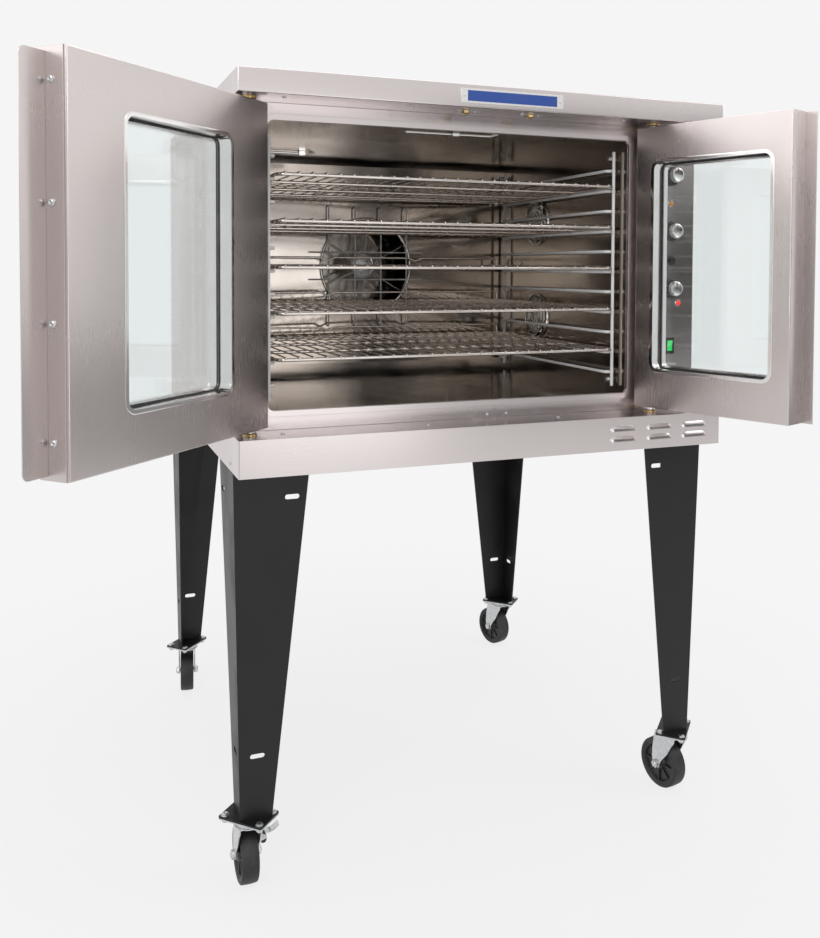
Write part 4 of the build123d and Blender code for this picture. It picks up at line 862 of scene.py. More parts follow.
def make_fan():
    """Six blades between a hub and a back ring."""
    low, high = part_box("fan_wheel")
    tip = (high.x - low.x) / 2
    front = BAFFLE_Y + SHEET + 12 * MM
    depth = 42 * MM
    hub = 32 * MM
    blade = Form()
    wall = 2 * MM
    steps = 8
    outline = []
    for i in range(steps + 1):
        share = i / steps
        r = hub - 3 * MM + (tip - 1 * MM - hub) * share
        outline.append((r, -7 * MM * sin(share * pi)))
    outer = [(r, h + wall) for r, h in reversed(outline)]
    turn = Matrix.Translation((FAN_X, 0, FAN_Z)) @ Matrix.Rotation(radians(-30), 4, "Y")
    blade.place = turn
    blade.plate([(r, h) for r, h in outline] + outer, (0, front, 0), (1, 0, 0), (0, 0, 1), -depth)
    blades = grown(ROUND, blade.mesh("blade", FAN_STEEL), count=6, centre=(FAN_X, 0, FAN_Z), axis=(0, 1, 0),
                   sweep=2 * pi, finish=FAN_STEEL)
    obj = piece("fan_blades", blades, "fan_wheel", "liner_steel", "fan_wheel", crease=30)
    eased(obj, 0.4 * MM, 1)
    at = (FAN_X, front, FAN_Z)
    rings = Form()
    rim = [(tip - 22 * MM, depth - 2 * MM), (tip, depth - 2 * MM), (tip, depth), (tip - 22 * MM, depth)]
    rings.turned(rim, at, (0, 1, 0), 64, closed=True)
    web = [(0, 8 * MM), (hub - 7 * MM, 8 * MM), (hub - 6 * MM, 1 * MM), (hub - 4.5 * MM, -0.6 * MM),
           (hub - 1.5 * MM, -0.6 * MM), (hub, 1 * MM), (hub, 10 * MM), (hub - 2 * MM, 12 * MM), (0, 12 * MM)]
    rings.turned(web, at, (0, 1, 0), 64)
    shaft_end = high.y - front
    rings.turned([(0, 10 * MM), (8 * MM, 10 * MM), (8 * MM, shaft_end - 1 * MM), (7 * MM, shaft_end), (0, shaft_end)],
                 at, (0, 1, 0), 32)
    piece("fan_hub", rings.mesh("fan_hub", TRIM), "fan_wheel", "liner_steel")
    cap = Form()
    cap.turned([(0, -2 * MM), (5 * MM, -2 * MM), (6 * MM, -1.2 * MM), (9.5 * MM, -1 * MM), (13 * MM, 0.5 * MM),
                (13 * MM, 8 * MM), (0, 8 * MM)], at, (0, 1, 0), 40)
    corner = 7.5 * MM
    hexagon = [(corner * cos(pi / 3 * i), corner * sin(pi / 3 * i)) for i in range(6)]
    cap.plate(hexagon, (FAN_X, front - 2 * MM, FAN_Z), (1, 0, 0), (0, 0, 1), 3 * MM)
    eased(piece("fan_hub_nut", cap.mesh("fan_hub_nut", ZINC), "fan_wheel", "zinc"), 0.4 * MM)


def make_lamps():
    """Pressed glass covers with concentric ribs and flutes, each in a bezel with a reflector behind it."""
    boxes = solid_boxes("oven_lamps")
    covers = [box for box in boxes if box[1].x < WALL_R - 1 * MM]
    for number, (low, high) in enumerate(covers, start=1):
        centre = (WALL_R, (low.y + high.y) / 2, (low.z + high.z) / 2)
        radius = (high.y - low.y) / 2
        proud = WALL_R - low.x
        profile = [(0, 0.5 * MM), (radius, 0.5 * MM), (radius, 5 * MM)]
        ribs = 5
        for i in range(ribs * 6 + 1):
            share = i / (ribs * 6)
            r = (radius - 2 * MM) * (1 - share)
            dome = 5 * MM + (proud - 6.5 * MM) * sqrt(max(0.0, 1 - (r / radius) ** 2.6))
            profile.append((r, dome + 0.9 * MM * sin(share * ribs * 2 * pi)))
        glass = Form()
        glass.turned(profile, centre, (-1, 0, 0), 96)
        mesh = glass.mesh("lamp_cover", LAMP_GLASS)
        flutes = 36
        for vert in mesh.vertices:
            dy, dz = vert.co.y - centre[1], vert.co.z - centre[2]
            r = sqrt(dy * dy + dz * dz)
            if r > 4 * MM and WALL_R - vert.co.x > 5.2 * MM:
                vert.co.x += 0.45 * MM * sin(flutes * atan2_of(dy, dz)) * min(1.0, r / radius * 1.4)
        piece(f"lamp_cover_{number}", mesh, "oven", "lamp_glass", "oven_lamps", crease=60)
        bezel = Form()
        outer = radius + 4 * MM
        bezel.turned([(radius + 0.4 * MM, 0), (outer, 0), (outer, 2 * MM), (outer - 1.2 * MM, 4.2 * MM),
                      (outer - 3 * MM, 5.4 * MM), (radius - 1.5 * MM, 5.8 * MM), (radius - 1.5 * MM, 5.1 * MM),
                      (radius + 0.4 * MM, 4.8 * MM)], centre, (-1, 0, 0), 72, closed=True)
        for i in range(3):
            a = pi / 2 + 2 * pi * i / 3
            at = Vector(centre) + Vector((-5 * MM, cos(a) * (radius + 0.5 * MM), sin(a) * (radius + 0.5 * MM)))
            bezel.turned([(0, 0), (2.6 * MM, 0), (2.6 * MM, 0.8 * MM), (1.6 * MM, 1.7 * MM), (0, 1.9 * MM)], at, (-1, 0, 0), 20)
        piece(f"lamp_bezel_{number}", bezel.mesh("lamp_bezel", TRIM), "oven", "lamp_glass")
        dish = Form()
        can = 41 * MM
        dish.turned([(can, 0.3 * MM), (can, -47 * MM), (0, -47 * MM), (0, -44 * MM), (16 * MM, -43 * MM),
                     (30 * MM, -34 * MM), (can - 1.2 * MM, -12 * MM), (can - 1.2 * MM, 0.3 * MM)], centre, (-1, 0, 0), 56)
        piece(f"lamp_reflector_{number}", dish.mesh("lamp_reflector", REFLECTOR), "oven", "liner_steel")
        bulb = Form()
        bulb.turned([(0, -43 * MM), (8 * MM, -43 * MM), (8 * MM, -30 * MM), (10 * MM, -24 * MM), (13 * MM, -14 * MM),
                     (11.5 * MM, -6 * MM), (6 * MM, -1.5 * MM), (0, -0.5 * MM)], centre, (-1, 0, 0), 32)
        piece(f"lamp_bulb_{number}", bulb.mesh("lamp_bulb", FROSTED), "oven", "lamp_glass")


GUIDE_WIRE = 6.35 * MM
RUNNERS = 11


def make_rack_guides():
    """Eleven runners on each wall, bent round two uprights that hang on studs."""
    low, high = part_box("rack_guides")
    first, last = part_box("rack_1")[0].z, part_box("rack_5")[0].z
    pitch = (first - last) / 8
    top = first - FIT - GUIDE_WIRE / 2 + pitch
    front = low.y + GUIDE_WIRE / 2
    step = GUIDE_WIRE + 0.05 * MM
    rear = high.y - 7 * MM - 2 * step
    meshes, hooks, studs = [], Form(), []
    for wall, inward in ((WALL_L, 1), (WALL_R, -1)):
        upright = wall + inward * 10.2 * MM
        runner = wall + inward * 22 * MM
        stub = wall + inward * 3.5 * MM
        path = [(stub, front + step, top), (runner, front + step, top), (runner, rear - step, top), (stub, rear - step, top)]
        meshes.append(wires([path], GUIDE_WIRE, 8 * MM, WIRE, RUNNERS, (0, 0, -pitch)))
        posts = [[(upright, y, low.z), (upright, y, high.z)] for y in (front, rear)]
        meshes.append(wires(posts, GUIDE_WIRE, 1 * MM, WIRE, sides=18))
        for y in (front, rear):
            for z in (low.z, high.z):
                ball = Form()
                inwards = 1 if z == low.z else -1
                ball.turned([(0, -0.9 * MM), (1.9 * MM, -0.6 * MM), (GUIDE_WIRE / 2, 0), (0, 0)], (upright, y, z), (0, 0, inwards), 18)
                meshes.append(ball.mesh("post_end", WIRE))
            for z in (low.z + 12 * MM, high.z - 12 * MM):
                x = sorted((upright, upright + inward * 2 * MM))
                hooks.box((x[0], y + GUIDE_WIRE / 2 + 0.05 * MM, z - 7 * MM), (x[1], y + 2 * step + 7 * MM, z + 7 * MM))
                lip = sorted((upright - inward * 6 * MM, upright + inward * 2 * MM))
                hooks.box((lip[0], y + GUIDE_WIRE / 2 + 0.05 * MM, z - 7 * MM), (lip[1], y + GUIDE_WIRE / 2 + 1.6 * MM, z + 7 * MM))
                hooks.turned([(0, 0), (4 * MM, 0), (4 * MM, 10 * MM), (0, 10 * MM)], (wall, y + 2 * step, z), (inward, 0, 0), 20)
                studs.append(((upright + inward * 2 * MM, y + 2 * step, z), (inward, 0, 0)))
    piece("rack_guide_wires", merged("rack_guide_wires", *meshes), "oven", "bright_wire", "rack_guides", crease=50)
    eased(piece("rack_guide_hooks", hooks.mesh("rack_guide_hooks", TRIM), "oven", "bright_wire"), 0.4 * MM)
    piece("rack_guide_studs", fixings(studs, GUIDE_NUT, ZINC, 2), "oven", "zinc")


RACK_BAR = 6.35 * MM
RACK_WIRE = 3.2 * MM
RACK_WIRES = 27


def make_rack(number):
    """A wire rack: a bar frame, three cross bars, wires that lap over the front bar, and a stop rail."""
    node = f"rack_{number}"
    low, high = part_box(node)
    bar = RACK_BAR / 2
    z = low.z + bar
    x0, x1, y0, y1 = low.x + bar, high.x - bar, low.y + bar, high.y - bar
    corner = 14 * MM
    loop = [(x0, y0, z), (x1, y0, z), (x1, y1, z), (x0, y1, z)]
    meshes = [wires([loop], RACK_BAR, corner, WIRE, closed=True, sides=16)]
    bars = [[(x0, y0 + (y1 - y0) * share, z), (x1, y0 + (y1 - y0) * share, z)] for share in (0.3, 0.62, 0.9)]
    meshes.append(wires(bars, RACK_BAR, 1 * MM, WIRE))
    lap = z + bar + RACK_WIRE / 2 - 0.4 * MM
    pitch = (x1 - x0 - 2 * corner) / (RACK_WIRES - 1)
    nose = low.y + 0.2 * MM
    wire = [(x0 + corner, nose, z + 0.5 * MM), (x0 + corner, nose, lap), (x0 + corner, y1 + bar - 0.8 * MM, lap),
            (x0 + corner, y1 + bar - 0.8 * MM, z + 1 * MM)]
    meshes.append(wires([wire], RACK_WIRE, 2.4 * MM, WIRE, RACK_WIRES, (pitch, 0, 0), sides=8))
    stop_wire = 5 * MM
    stop_y = y1 - 16 * MM
    foot, crest = lap + RACK_WIRE / 2, high.z - stop_wire / 2
    inner, dip = (x1 - x0) / 2 - corner, 16 * MM
    middle = (x0 + x1) / 2
    shape = [(-inner, foot), (-inner, crest)]
    for valley in (-inner / 3, inner / 3):
        shape += [(valley - dip, crest), (valley, crest - dip / 2), (valley + dip, crest)]
    shape += [(inner, crest), (inner, foot)]
    meshes.append(wires([[(middle + x, stop_y, h) for x, h in shape]], stop_wire, 7 * MM, WIRE))
    piece(f"{node}_wires", merged(f"{node}_wires", *meshes), node, "bright_wire", node, crease=50)


def make_sensors():
    """Sensing bulbs under the cavity ceiling, each in a clip."""
    boxes = [box for box in solid_boxes("electrical_parts") if box[0].z > CEILING_Z - 12 * MM and box[1].y < REAR_Y]
    rods = [box for box in boxes if box[1].x - box[0].x > 60 * MM]
    clips = [box for box in boxes if box[1].x - box[0].x <= 60 * MM]
    paths = []
    for low, high in rods:
        y, z = (low.y + high.y) / 2, (low.z + high.z) / 2
        tail = [(high.x, y, z), (high.x + 16 * MM, y + 2 * MM, CEILING_Z + 0.5 * MM)]
        paths.append([(low.x, y, z), *tail])
    piece("sensing_bulbs", wires(paths, 4.8 * MM, 12 * MM, TRIM), "oven", "bright_wire", "electrical_parts", crease=50)
    form = Form()
    for low, high in clips:
        form.box((low.x, low.y, low.z), (high.x, high.y, low.z + 1.0 * MM))
        form.box((low.x, low.y - 9 * MM, CEILING_Z - 1.0 * MM), (high.x, low.y + 0.8 * MM, CEILING_Z - 0.1 * MM))
        form.box((low.x, low.y, low.z), (high.x, low.y + 0.8 * MM, CEILING_Z))
        form.box((low.x, high.y - 0.8 * MM, low.z), (high.x, high.y, CEILING_Z - 0.1 * MM))
    eased(piece("sensor_clips", form.mesh("sensor_clips", TRIM), "oven", "bright_wire"), 0.3 * MM)


def make_cavity():
    make_baffle()
    make_guard()
    make_fan()
    make_lamps()
    make_rack_guides()
    for number in range(1, 6):
        make_rack(number)
    make_sensors()


# ---------------------------------------------------------------- doors
def swing_of(side):
    """How a shut door is turned to stand as it does at rest."""
    joint = JOINTS[f"{side}_door_hinge"]
    pin = Vector(joint["pos_m"])
    turn = Matrix.Rotation(-radians(joint["range_deg"][0]), 4, Vector(joint["axis"]))
    return Matrix.Translation(pin) @ turn @ Matrix.Translation(-pin)


def window_of(side, swing):
    """The window opening's box in the shut door, from its two panes."""
    low, high = box_in(f"{side}_door_glass", swing)
    return low - Vector((FIT, 0, FIT)), high + Vector((FIT, 0, FIT))


WINDOW_CORNER = 14 * MM


def make_window(side, swing, inner_y, outer_y):
    """Polished trim with a rolled lip, two panes, their black seals and the spacer between them."""
    low, high = window_of(side, swing)
    size = (high.x - low.x, high.z - low.z)
    middle = ((low.x + high.x) / 2, 0, (low.z + high.z) / 2)
    u, v = (1, 0, 0), (0, 0, -1)         # u x v is +Y, towards the cavity when shut

    def at(y):
        return (middle[0], y, middle[2])

    body = f"{side}_door"
    trim = Form(swing)
    lip = 7 * MM
    bead = [(lip, 0.0), (lip - 0.4 * MM, 0.12 * MM), (lip - 2 * MM, 0.22 * MM), (3 * MM, 0.26 * MM), (1.2 * MM, 0.16 * MM),
            (0.2 * MM, 0.2 * MM), (0.0, -2 * MM)]
    depth = inner_y - outer_y
    outer_bead = [(0.0, -depth + 2 * MM), (0.6 * MM, -depth - 0.6 * MM), (2 * MM, -depth - 1.1 * MM),
                  (lip, -depth - 1.1 * MM), (lip, -depth), (1.2 * MM, -depth), (1.2 * MM, 0.0)]
    trim.rim(bead + outer_bead, size, WINDOW_CORNER, at(inner_y), u, v)
    piece(f"{side}_window_trim", trim.mesh("window_trim", TRIM), body, "stainless", f"{side}_door_window_trim", crease=40)

    glass_low, glass_high = box_in(f"{side}_door_glass", swing)
    pane = 4 * MM
    near, far = glass_high.y, glass_low.y
    seal = Form(swing)
    section = [(0.0, 0.0), (0.0, 1.4 * MM), (-0.8 * MM, 1.2 * MM), (-2 * MM, 0.3 * MM), (-2 * MM, 0.0)]
    seal.rim(section, size, WINDOW_CORNER, at(near), u, v)
    back_section = [(out, -along) for out, along in section]
    seal.rim(back_section, size, WINDOW_CORNER, at(far), u, v)
    piece(f"{side}_window_seals", seal.mesh("window_seals", RUBBER), body, "black_rubber")
    spacer = Form(swing)
    span = (near - pane) - (far + pane)
    spacer.rim([(-0.3 * MM, 0), (-0.3 * MM, span), (-6 * MM, span), (-6 * MM, 0)], size, WINDOW_CORNER, at(far + pane), u, v)
    eased(piece(f"{side}_window_spacer", spacer.mesh("window_spacer", TRIM), body, "stainless"), 0.4 * MM)
    make_panes(side, swing, size, [near - pane, far], at, u, v)


def make_panes(side, swing, size, levels, at, u, v):
    pane = 4 * MM
    form = Form(swing)
    u, v = Vector(u), Vector(v)
    normal = u.cross(v)
    for y in levels:
        centre = Vector(at(y))
        loops = [[centre]]
        for inset, along in ((0.8 * MM, 0.0), (0.4 * MM, 0.4 * MM), (0.4 * MM, pane - 0.4 * MM), (0.8 * MM, pane)):
            outline = rounded_outline(size[0] - 2 * inset, size[1] - 2 * inset, WINDOW_CORNER - inset)
            loops.append([centre + u * a + v * b + normal * along for a, b in outline])
        loops.append([centre + normal * pane])
        form.loops(loops)
    piece(f"{side}_window_panes", form.mesh("window_panes", GLASS), f"{side}_door", "window_glass",
          f"{side}_door_glass", crease=20)


def make_handle(side, swing, toward):
    """A full-height pull along the free edge: a hooked bar with rounded edges and two end caps."""
    low, high = box_in(f"{side}_door_handle", swing)
    body = f"{side}_door"
    cap = 5 * MM
    form = Form(swing)
    free = high.x if toward > 0 else low.x
    out, root = low.y, high.y
    deep = high.x - low.x
    wall = 3 * MM
    outer = [(0.0, root), (0.0, out + 4 * MM)]
    outer += [(4 * MM - 4 * MM * cos(a), out + 4 * MM - 4 * MM * sin(a)) for a in (pi / 8 * i for i in range(1, 5))]
    outer += [(deep - 1.5 * MM, out), (deep, out + 1.5 * MM), (deep - 1.5 * MM, out + wall)]
    inner = [(5 * MM, out + wall), (wall, out + 5 * MM), (wall, root)]
    outline = [(free - toward * a, b) for a, b in outer + inner]
    form.plate(outline, (0, 0, low.z + cap), (1, 0, 0), (0, 1, 0), high.z - low.z - 2 * cap)
    eased(piece(f"{side}_pull", form.mesh("pull", PLASTIC), body, "black_plastic", f"{side}_door_handle"), 0.5 * MM)
    caps = Form(swing)
    for z in (low.z, high.z - cap):
        shape = [(0.0, root), (0.0, out), (deep, out), (deep, root)]
        caps.plate([(free - toward * a, b) for a, b in shape], (0, 0, z), (1, 0, 0), (0, 1, 0), cap)
    eased(piece(f"{side}_pull_caps", caps.mesh("pull_caps", PLASTIC), body, "black_plastic"), 1.6 * MM, 3)


def make_pins(side, swing):
    """Turned hinge pins with washers, and the strike plates that the catches meet."""
    form = Form(swing)
    plates = Form(swing)
    back = swing.inverted()
    work, groups = solids_of(f"{side}_door_hinge_pins")
    boxes = [box_of(back @ v.co for f in group for v in f.verts) for group in groups]
    work.free()
    middle = sum((box[0].z + box[1].z) / 2 for box in boxes) / len(boxes)
    for low, high in boxes:
        x, y = (low.x + high.x) / 2, (low.y + high.y) / 2
        tall = high.z - low.z
        if tall < 3 * MM:
            plates.box(low, high)
            continue
        up = 1 if low.z > middle else -1
        root = low.z if up > 0 else high.z
        washer, pin, gap = 11 * MM, 6 * MM, tall - 14.7 * MM
        form.turned([(0, 0), (washer - 0.5 * MM, 0), (washer, 0.5 * MM), (washer, gap - 0.5 * MM), (washer - 0.5 * MM, gap),
                     (pin + 1 * MM, gap), (pin, gap + 0.8 * MM), (pin, tall - 1 * MM), (pin - 1 * MM, tall), (0, tall)],
                    (x, y, root), (0, 0, up), 40)
    piece(f"{side}_hinge_pins", form.mesh("hinge_pins", TRIM), f"{side}_door", "stainless", f"{side}_door_hinge_pins")
    eased(piece(f"{side}_strikes", plates.mesh("strikes", TRIM), f"{side}_door", "stainless"), 0.25 * MM)


def make_spot_marks(side, swing, inner_y, hinge_edge, toward):
    """A column of small weld marks where the stiffener inside the door is fixed."""
    low, high = box_in(f"{side}_door_pan", swing)
    count = 14
    margin = 60 * MM
    pitch = (high.z - low.z - 2 * margin) / (count - 1)
    mark = Form()
    x = hinge_edge + toward * 24 * MM
    mark.turned([(0, 0), (1.6 * MM, 0), (1.5 * MM, 0.12 * MM), (0.9 * MM, 0.05 * MM), (0, 0.03 * MM)],
                (x, inner_y, low.z + margin), (0, 1, 0), 14)
    column = grown(ROWS, mark.mesh("mark", SHEATH), count=count, step=(0, 0, pitch), rows=1, row_step=(0, 0, 0), finish=SHEATH)
    column.transform(swing)
    piece(f"{side}_spot_marks", column, f"{side}_door", "stainless")


def make_door(side, toward):
    swing = swing_of(side)
    low, high = box_in(f"{side}_door_pan", swing)
    inner_y = high.y
    outer_y = box_in(f"{side}_door_skin", swing)[0].y
    hinge_edge = low.x if toward > 0 else high.x
    dressed(f"{side}_door_pan", UPRIGHT_STEEL, "stainless", 0.8 * MM, small_faces=True)
    dressed(f"{side}_door_skin", UPRIGHT_STEEL, "stainless", 0.4 * MM, small_faces=True)
    make_window(side, swing, inner_y, outer_y)
    make_handle(side, swing, toward)
    make_pins(side, swing)
    make_spot_marks(side, swing, inner_y, hinge_edge, toward)


def make_astragal():
    """The strip that laps the gap between the doors, with its four screws."""
    swing = swing_of("left")
    back = swing.inverted()
    work, groups = solids_of("left_door_astragal")
    boxes = [box_of(back @ v.co for f in group for v in f.verts) for group in groups]
    work.free()
    strips = [box for box in boxes if box[1].z - box[0].z > 0.1]
    heads = [box for box in boxes if box[1].z - box[0].z < 0.1]
    dressed("left_door_astragal", UPRIGHT_STEEL, "stainless", 0.4 * MM, keep=lambda low, high: high.z - low.z > 0.1)
    turn = swing.to_3x3()
    spots = [(swing @ Vector((low.x, (low.y + high.y) / 2, (low.z + high.z) / 2)), turn @ Vector((1, 0, 0)))
             for low, high in heads]
    piece("astragal_screws", fixings(spots, PAN_SCREW, ZINC, 7), "left_door", "zinc")


def make_hardware():
    """Brass bushes, ball catches on their plates and the riveted strike bracket."""
    boxes = solid_boxes("door_hardware")
    bushes, plates = Form(), Form()
    balls, nuts = Form(), []
    for low, high in boxes:
        x, y = (low.x + high.x) / 2, (low.y + high.y) / 2
        wide, deep, tall = high - low
        if abs(wide - deep) < 0.5 * MM and tall > 12 * MM:      # a bush
            up = 1 if low.z > 1.2 else -1
            face = low.z if up > 0 else high.z
            flange, bore, sleeve = 12.5 * MM, 6.1 * MM, 8.5 * MM
            bushes.turned([(bore, 0.6 * MM), (bore + 0.6 * MM, 0), (flange - 0.8 * MM, 0), (flange, 0.8 * MM), (flange, 3 * MM),
                           (sleeve, 3 * MM), (sleeve, 15 * MM), (bore, 15 * MM)], (x, y, face), (0, 0, up), 40, closed=True)
        elif tall < 3 * MM and wide > 25 * MM and deep < 25 * MM:      # a catch plate
            plates.box((low.x - 8 * MM, low.y, low.z), (high.x + 8 * MM, high.y, high.z))
            for side in (-1, 1):
                nuts.append(((x + side * 17 * MM, y, low.z), (0, 0, -1)))
        elif wide < 15 * MM:      # a ball
            r = wide / 2
            balls.turned([(r * sin(a), -r * cos(a)) for a in (pi * i / 14 for i in range(15))],
                         (x, y, low.z + r), (0, 0, 1), 28)
            balls.turned([(5.2 * MM, 0), (8 * MM, 0), (8 * MM, 2.6 * MM), (7 * MM, 3.6 * MM), (5.6 * MM, 4 * MM), (5.2 * MM, 3.4 * MM)],
                         (x, y, TOP_COWL_Z - 1.5 * MM), (0, 0, -1), 6, closed=True)
        elif tall > 5 * MM:      # the strike bracket
            for side in (-1, 1):
                nuts.append(((x + side * 20 * MM, low.y, (low.z + high.z) / 2), (0, -1, 0)))
    piece("hinge_bushes", bushes.mesh("hinge_bushes", BRASS), "oven", "brass", "door_hardware")
    piece("catch_balls", balls.mesh("catch_balls", BRASS), "oven", "brass")
    eased(piece("catch_plates", plates.mesh("catch_plates", TRIM), "oven", "stainless"), 0.4 * MM)
    dressed("door_hardware", LEVEL_STEEL, "stainless", 0.3 * MM, "strike_bracket",
            keep=lambda low, high: high.z < 1.0 and high.x - low.x > 30 * MM)
    piece("hardware_rivets", fixings(nuts, RIVET, ZINC, 9), "oven", "zinc")


def make_doors():
    make_door("left", 1)
    make_door("right", -1)
    make_astragal()
    make_hardware()


# ---------------------------------------------------------------- controls
def make_knob(name, sweep):
    """A fluted black skirt under a spun silver cap with a pointer line."""
    joint = JOINTS[f"{name}_turn"]
    low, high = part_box(name)
    at = Vector((joint["pos_m"][0], FACE_Y, joint["pos_m"][2]))
    out = (0, -1, 0)
    tall = FACE_Y - low.y
    skirt = Form()
    skirt.turned([(0, 0.6 * MM), (21 * MM, 0.6 * MM), (21 * MM, 2.4 * MM), (20.2 * MM, 3.8 * MM), (17.5 * MM, 5 * MM),
                  (16 * MM, tall - 8 * MM), (0, tall - 8 * MM)], at, out, 64)
    piece(f"{name}_skirt", skirt.mesh("skirt", PLASTIC), name, "black_plastic", name)
    flute = Form()
    flute.turned([(0, 0), (1.1 * MM, 0.2 * MM), (1.1 * MM, tall - 14 * MM), (0, tall - 13.4 * MM)],
                 at + Vector((16.1 * MM, -4.6 * MM, 0)), out, 10)
    flutes = grown(ROUND, flute.mesh("flute", PLASTIC), count=24, centre=at, axis=(0, 1, 0), sweep=2 * pi, finish=PLASTIC)
    piece(f"{name}_flutes", flutes, name, "black_plastic")
    cap = Form()
    cap.turned([(0, 5 * MM), (15 * MM, 5 * MM), (15.6 * MM, tall - 9 * MM), (15.2 * MM, tall - 3 * MM), (14 * MM, tall - 1.0 * MM),
                (12 * MM, tall - 0.2 * MM), (11 * MM, tall - 0.6 * MM), (0, tall - 0.8 * MM)], at, out, 64)
    piece(f"{name}_cap", cap.mesh("cap", CAP_METAL), name, "silver_knob")
    line = Form()
    line.box((at.x - 0.8 * MM, low.y + 0.2 * MM, at.z + 4 * MM), (at.x + 0.8 * MM, low.y + 1.2 * MM, at.z + 14 * MM))
    line.box((at.x - 0.8 * MM, FACE_Y - 4.6 * MM, at.z + 15.5 * MM), (at.x + 0.8 * MM, FACE_Y - 3.0 * MM, at.z + 20 * MM))
    piece(f"{name}_pointer", line.mesh("pointer", RED_PAINT), name, "black_plastic")
    tick = Form()
    tick.box((at.x - 0.35 * MM, FACE_Y - 0.12 * MM, at.z + 24 * MM), (at.x + 0.35 * MM, FACE_Y - 0.01 * MM, at.z + 27.5 * MM))
    ticks = grown(ROUND, tick.mesh("tick", PAINT), count=sweep // 15 + 1, centre=at, axis=(0, 1, 0),
                  sweep=-radians(sweep) * (sweep // 15 + 1) / (sweep // 15), finish=PAINT)
    piece(f"{name}_scale", ticks, "oven", "black_paint")


def make_switches():
    """The lit rocker in its bezel, the push button in its collar, and two lamp lenses."""
    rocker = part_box("power_rocker")
    joint = Vector(JOINTS["power_rocker_tilt"]["pos_m"])
    dressed("power_rocker", GREEN_LENS, "black_plastic", 0.6 * MM)
    boxes = solid_boxes("electrical_parts")
    front = [box for box in boxes if box[0].y < FACE_Y]
    bezels = Form()
    for low, high in front:
        centre = (low + high) / 2
        wide, tall = high.x - low.x, high.z - low.z
        if abs(centre.z - joint.z) < 3 * MM:
            frame_profile = [(0, 0), (0, 1.4 * MM), (-0.6 * MM, 2 * MM), (-3.6 * MM, 2 * MM), (-4.0 * MM, 1.2 * MM), (-4.0 * MM, -6 * MM), (0, -6 * MM)]
            bezels.rim(frame_profile, (wide, tall), 1.5 * MM, (centre.x, FACE_Y, centre.z), (1, 0, 0), (0, 0, 1))
        elif wide > 20 * MM:
            bezels.turned([(6.2 * MM, -10 * MM), (9 * MM, -10 * MM), (9 * MM, 0), (11 * MM, 0), (11 * MM, 1.6 * MM), (9.8 * MM, 3 * MM),
                           (6.8 * MM, 3 * MM), (6.2 * MM, 2.2 * MM)], (centre.x, FACE_Y, centre.z), (0, -1, 0), 40, closed=True)
    piece("switch_bezels", bezels.mesh("switch_bezels", PLASTIC), "oven", "black_plastic")
    for name, finish, near in (("power_lamp", AMBER_LENS, 1.2), ("heat_lamp", RED_LENS, 1.1)):
        lenses = sorted((box for box in front if 8 * MM < box[1].x - box[0].x < 12 * MM), key=lambda b: -b[0].z)
        low, high = lenses[0 if name == "power_lamp" else -1]
        centre = (low + high) / 2
        lens = Form()
        lens.turned([(0, -12 * MM), (4.9 * MM, -12 * MM), (4.9 * MM, 1 * MM), (4.4 * MM, 2.2 * MM), (3 * MM, 2.9 * MM), (0, 3.2 * MM)],
                    (centre.x, FACE_Y, centre.z), (0, -1, 0), 32)
        piece(name, lens.mesh(name, finish), "oven", "lamp_glass")
        collar = Form()
        collar.turned([(4.9 * MM, 0), (7 * MM, 0), (7 * MM, 0.8 * MM), (6.2 * MM, 1.5 * MM), (5.2 * MM, 1.5 * MM), (4.9 * MM, 1.1 * MM)],
                      (centre.x, FACE_Y, centre.z), (0, -1, 0), 32, closed=True)
        piece(f"{name}_collar", collar.mesh(f"{name}_collar", TRIM), "oven", "lamp_glass")
    low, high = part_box("light_button")
    centre = (low + high) / 2
    tall = FACE_Y - low.y
    button = Form()
    button.turned([(0, -9 * MM), (6 * MM, -9 * MM), (6 * MM, tall - 1.2 * MM), (5.4 * MM, tall - 0.2 * MM), (4.4 * MM, tall),
                   (3.8 * MM, tall - 0.5 * MM), (0, tall - 0.8 * MM)], (centre.x, FACE_Y, centre.z), (0, -1, 0), 40)
    piece("light_push_button", button.mesh("light_push_button", PLASTIC), "light_button", "black_plastic", "light_button")


def make_inner_electrics():
    """Control bodies behind the panel, and the cable gland with its hexagon nut."""
    boxes = [box for box in solid_boxes("electrical_parts") if FACE_Y < box[0].y < REAR_Y and box[1].z < CEILING_Z - 15 * MM]
    form = Form()
    for low, high in boxes:
        form.box(low, high)
    if boxes:
        eased(piece("control_bodies", form.mesh("control_bodies", PLASTIC), "oven", "black_plastic"), 1.5 * MM)
    low, high = max(solid_boxes("electrical_parts"), key=lambda box: box[1].y)
    centre = ((low.x + high.x) / 2, BACK, (low.z + high.z) / 2)
    gland = Form()
    reach, bore = high.y - BACK, 8 * MM
    gland.turned([(bore, -reach), (14 * MM, -reach), (14 * MM, reach - 6 * MM), (13 * MM, reach - 4.5 * MM), (13 * MM, reach - 1.5 * MM),
                  (11.5 * MM, reach), (bore, reach)], centre, (0, 1, 0), 40, closed=True)
    nut = 19 * MM
    outline = [(nut * cos(pi / 3 * i), nut * sin(pi / 3 * i)) for i in range(6)]
    ring_loops = []
    for share, along in ((1.0, 0.0), (1.0, 5 * MM), (0.93, 6 * MM)):
        ring_loops.append([Vector((centre[0] + a * share, BACK + along, centre[2] + b * share)) for a, b in outline])
    gland.loops([[Vector((centre[0], BACK, centre[2]))], *ring_loops, [Vector((centre[0], BACK + 6 * MM, centre[2]))]])
    piece("cable_gland_body", gland.mesh("cable_gland_body", PLASTIC), "oven", "black_plastic")


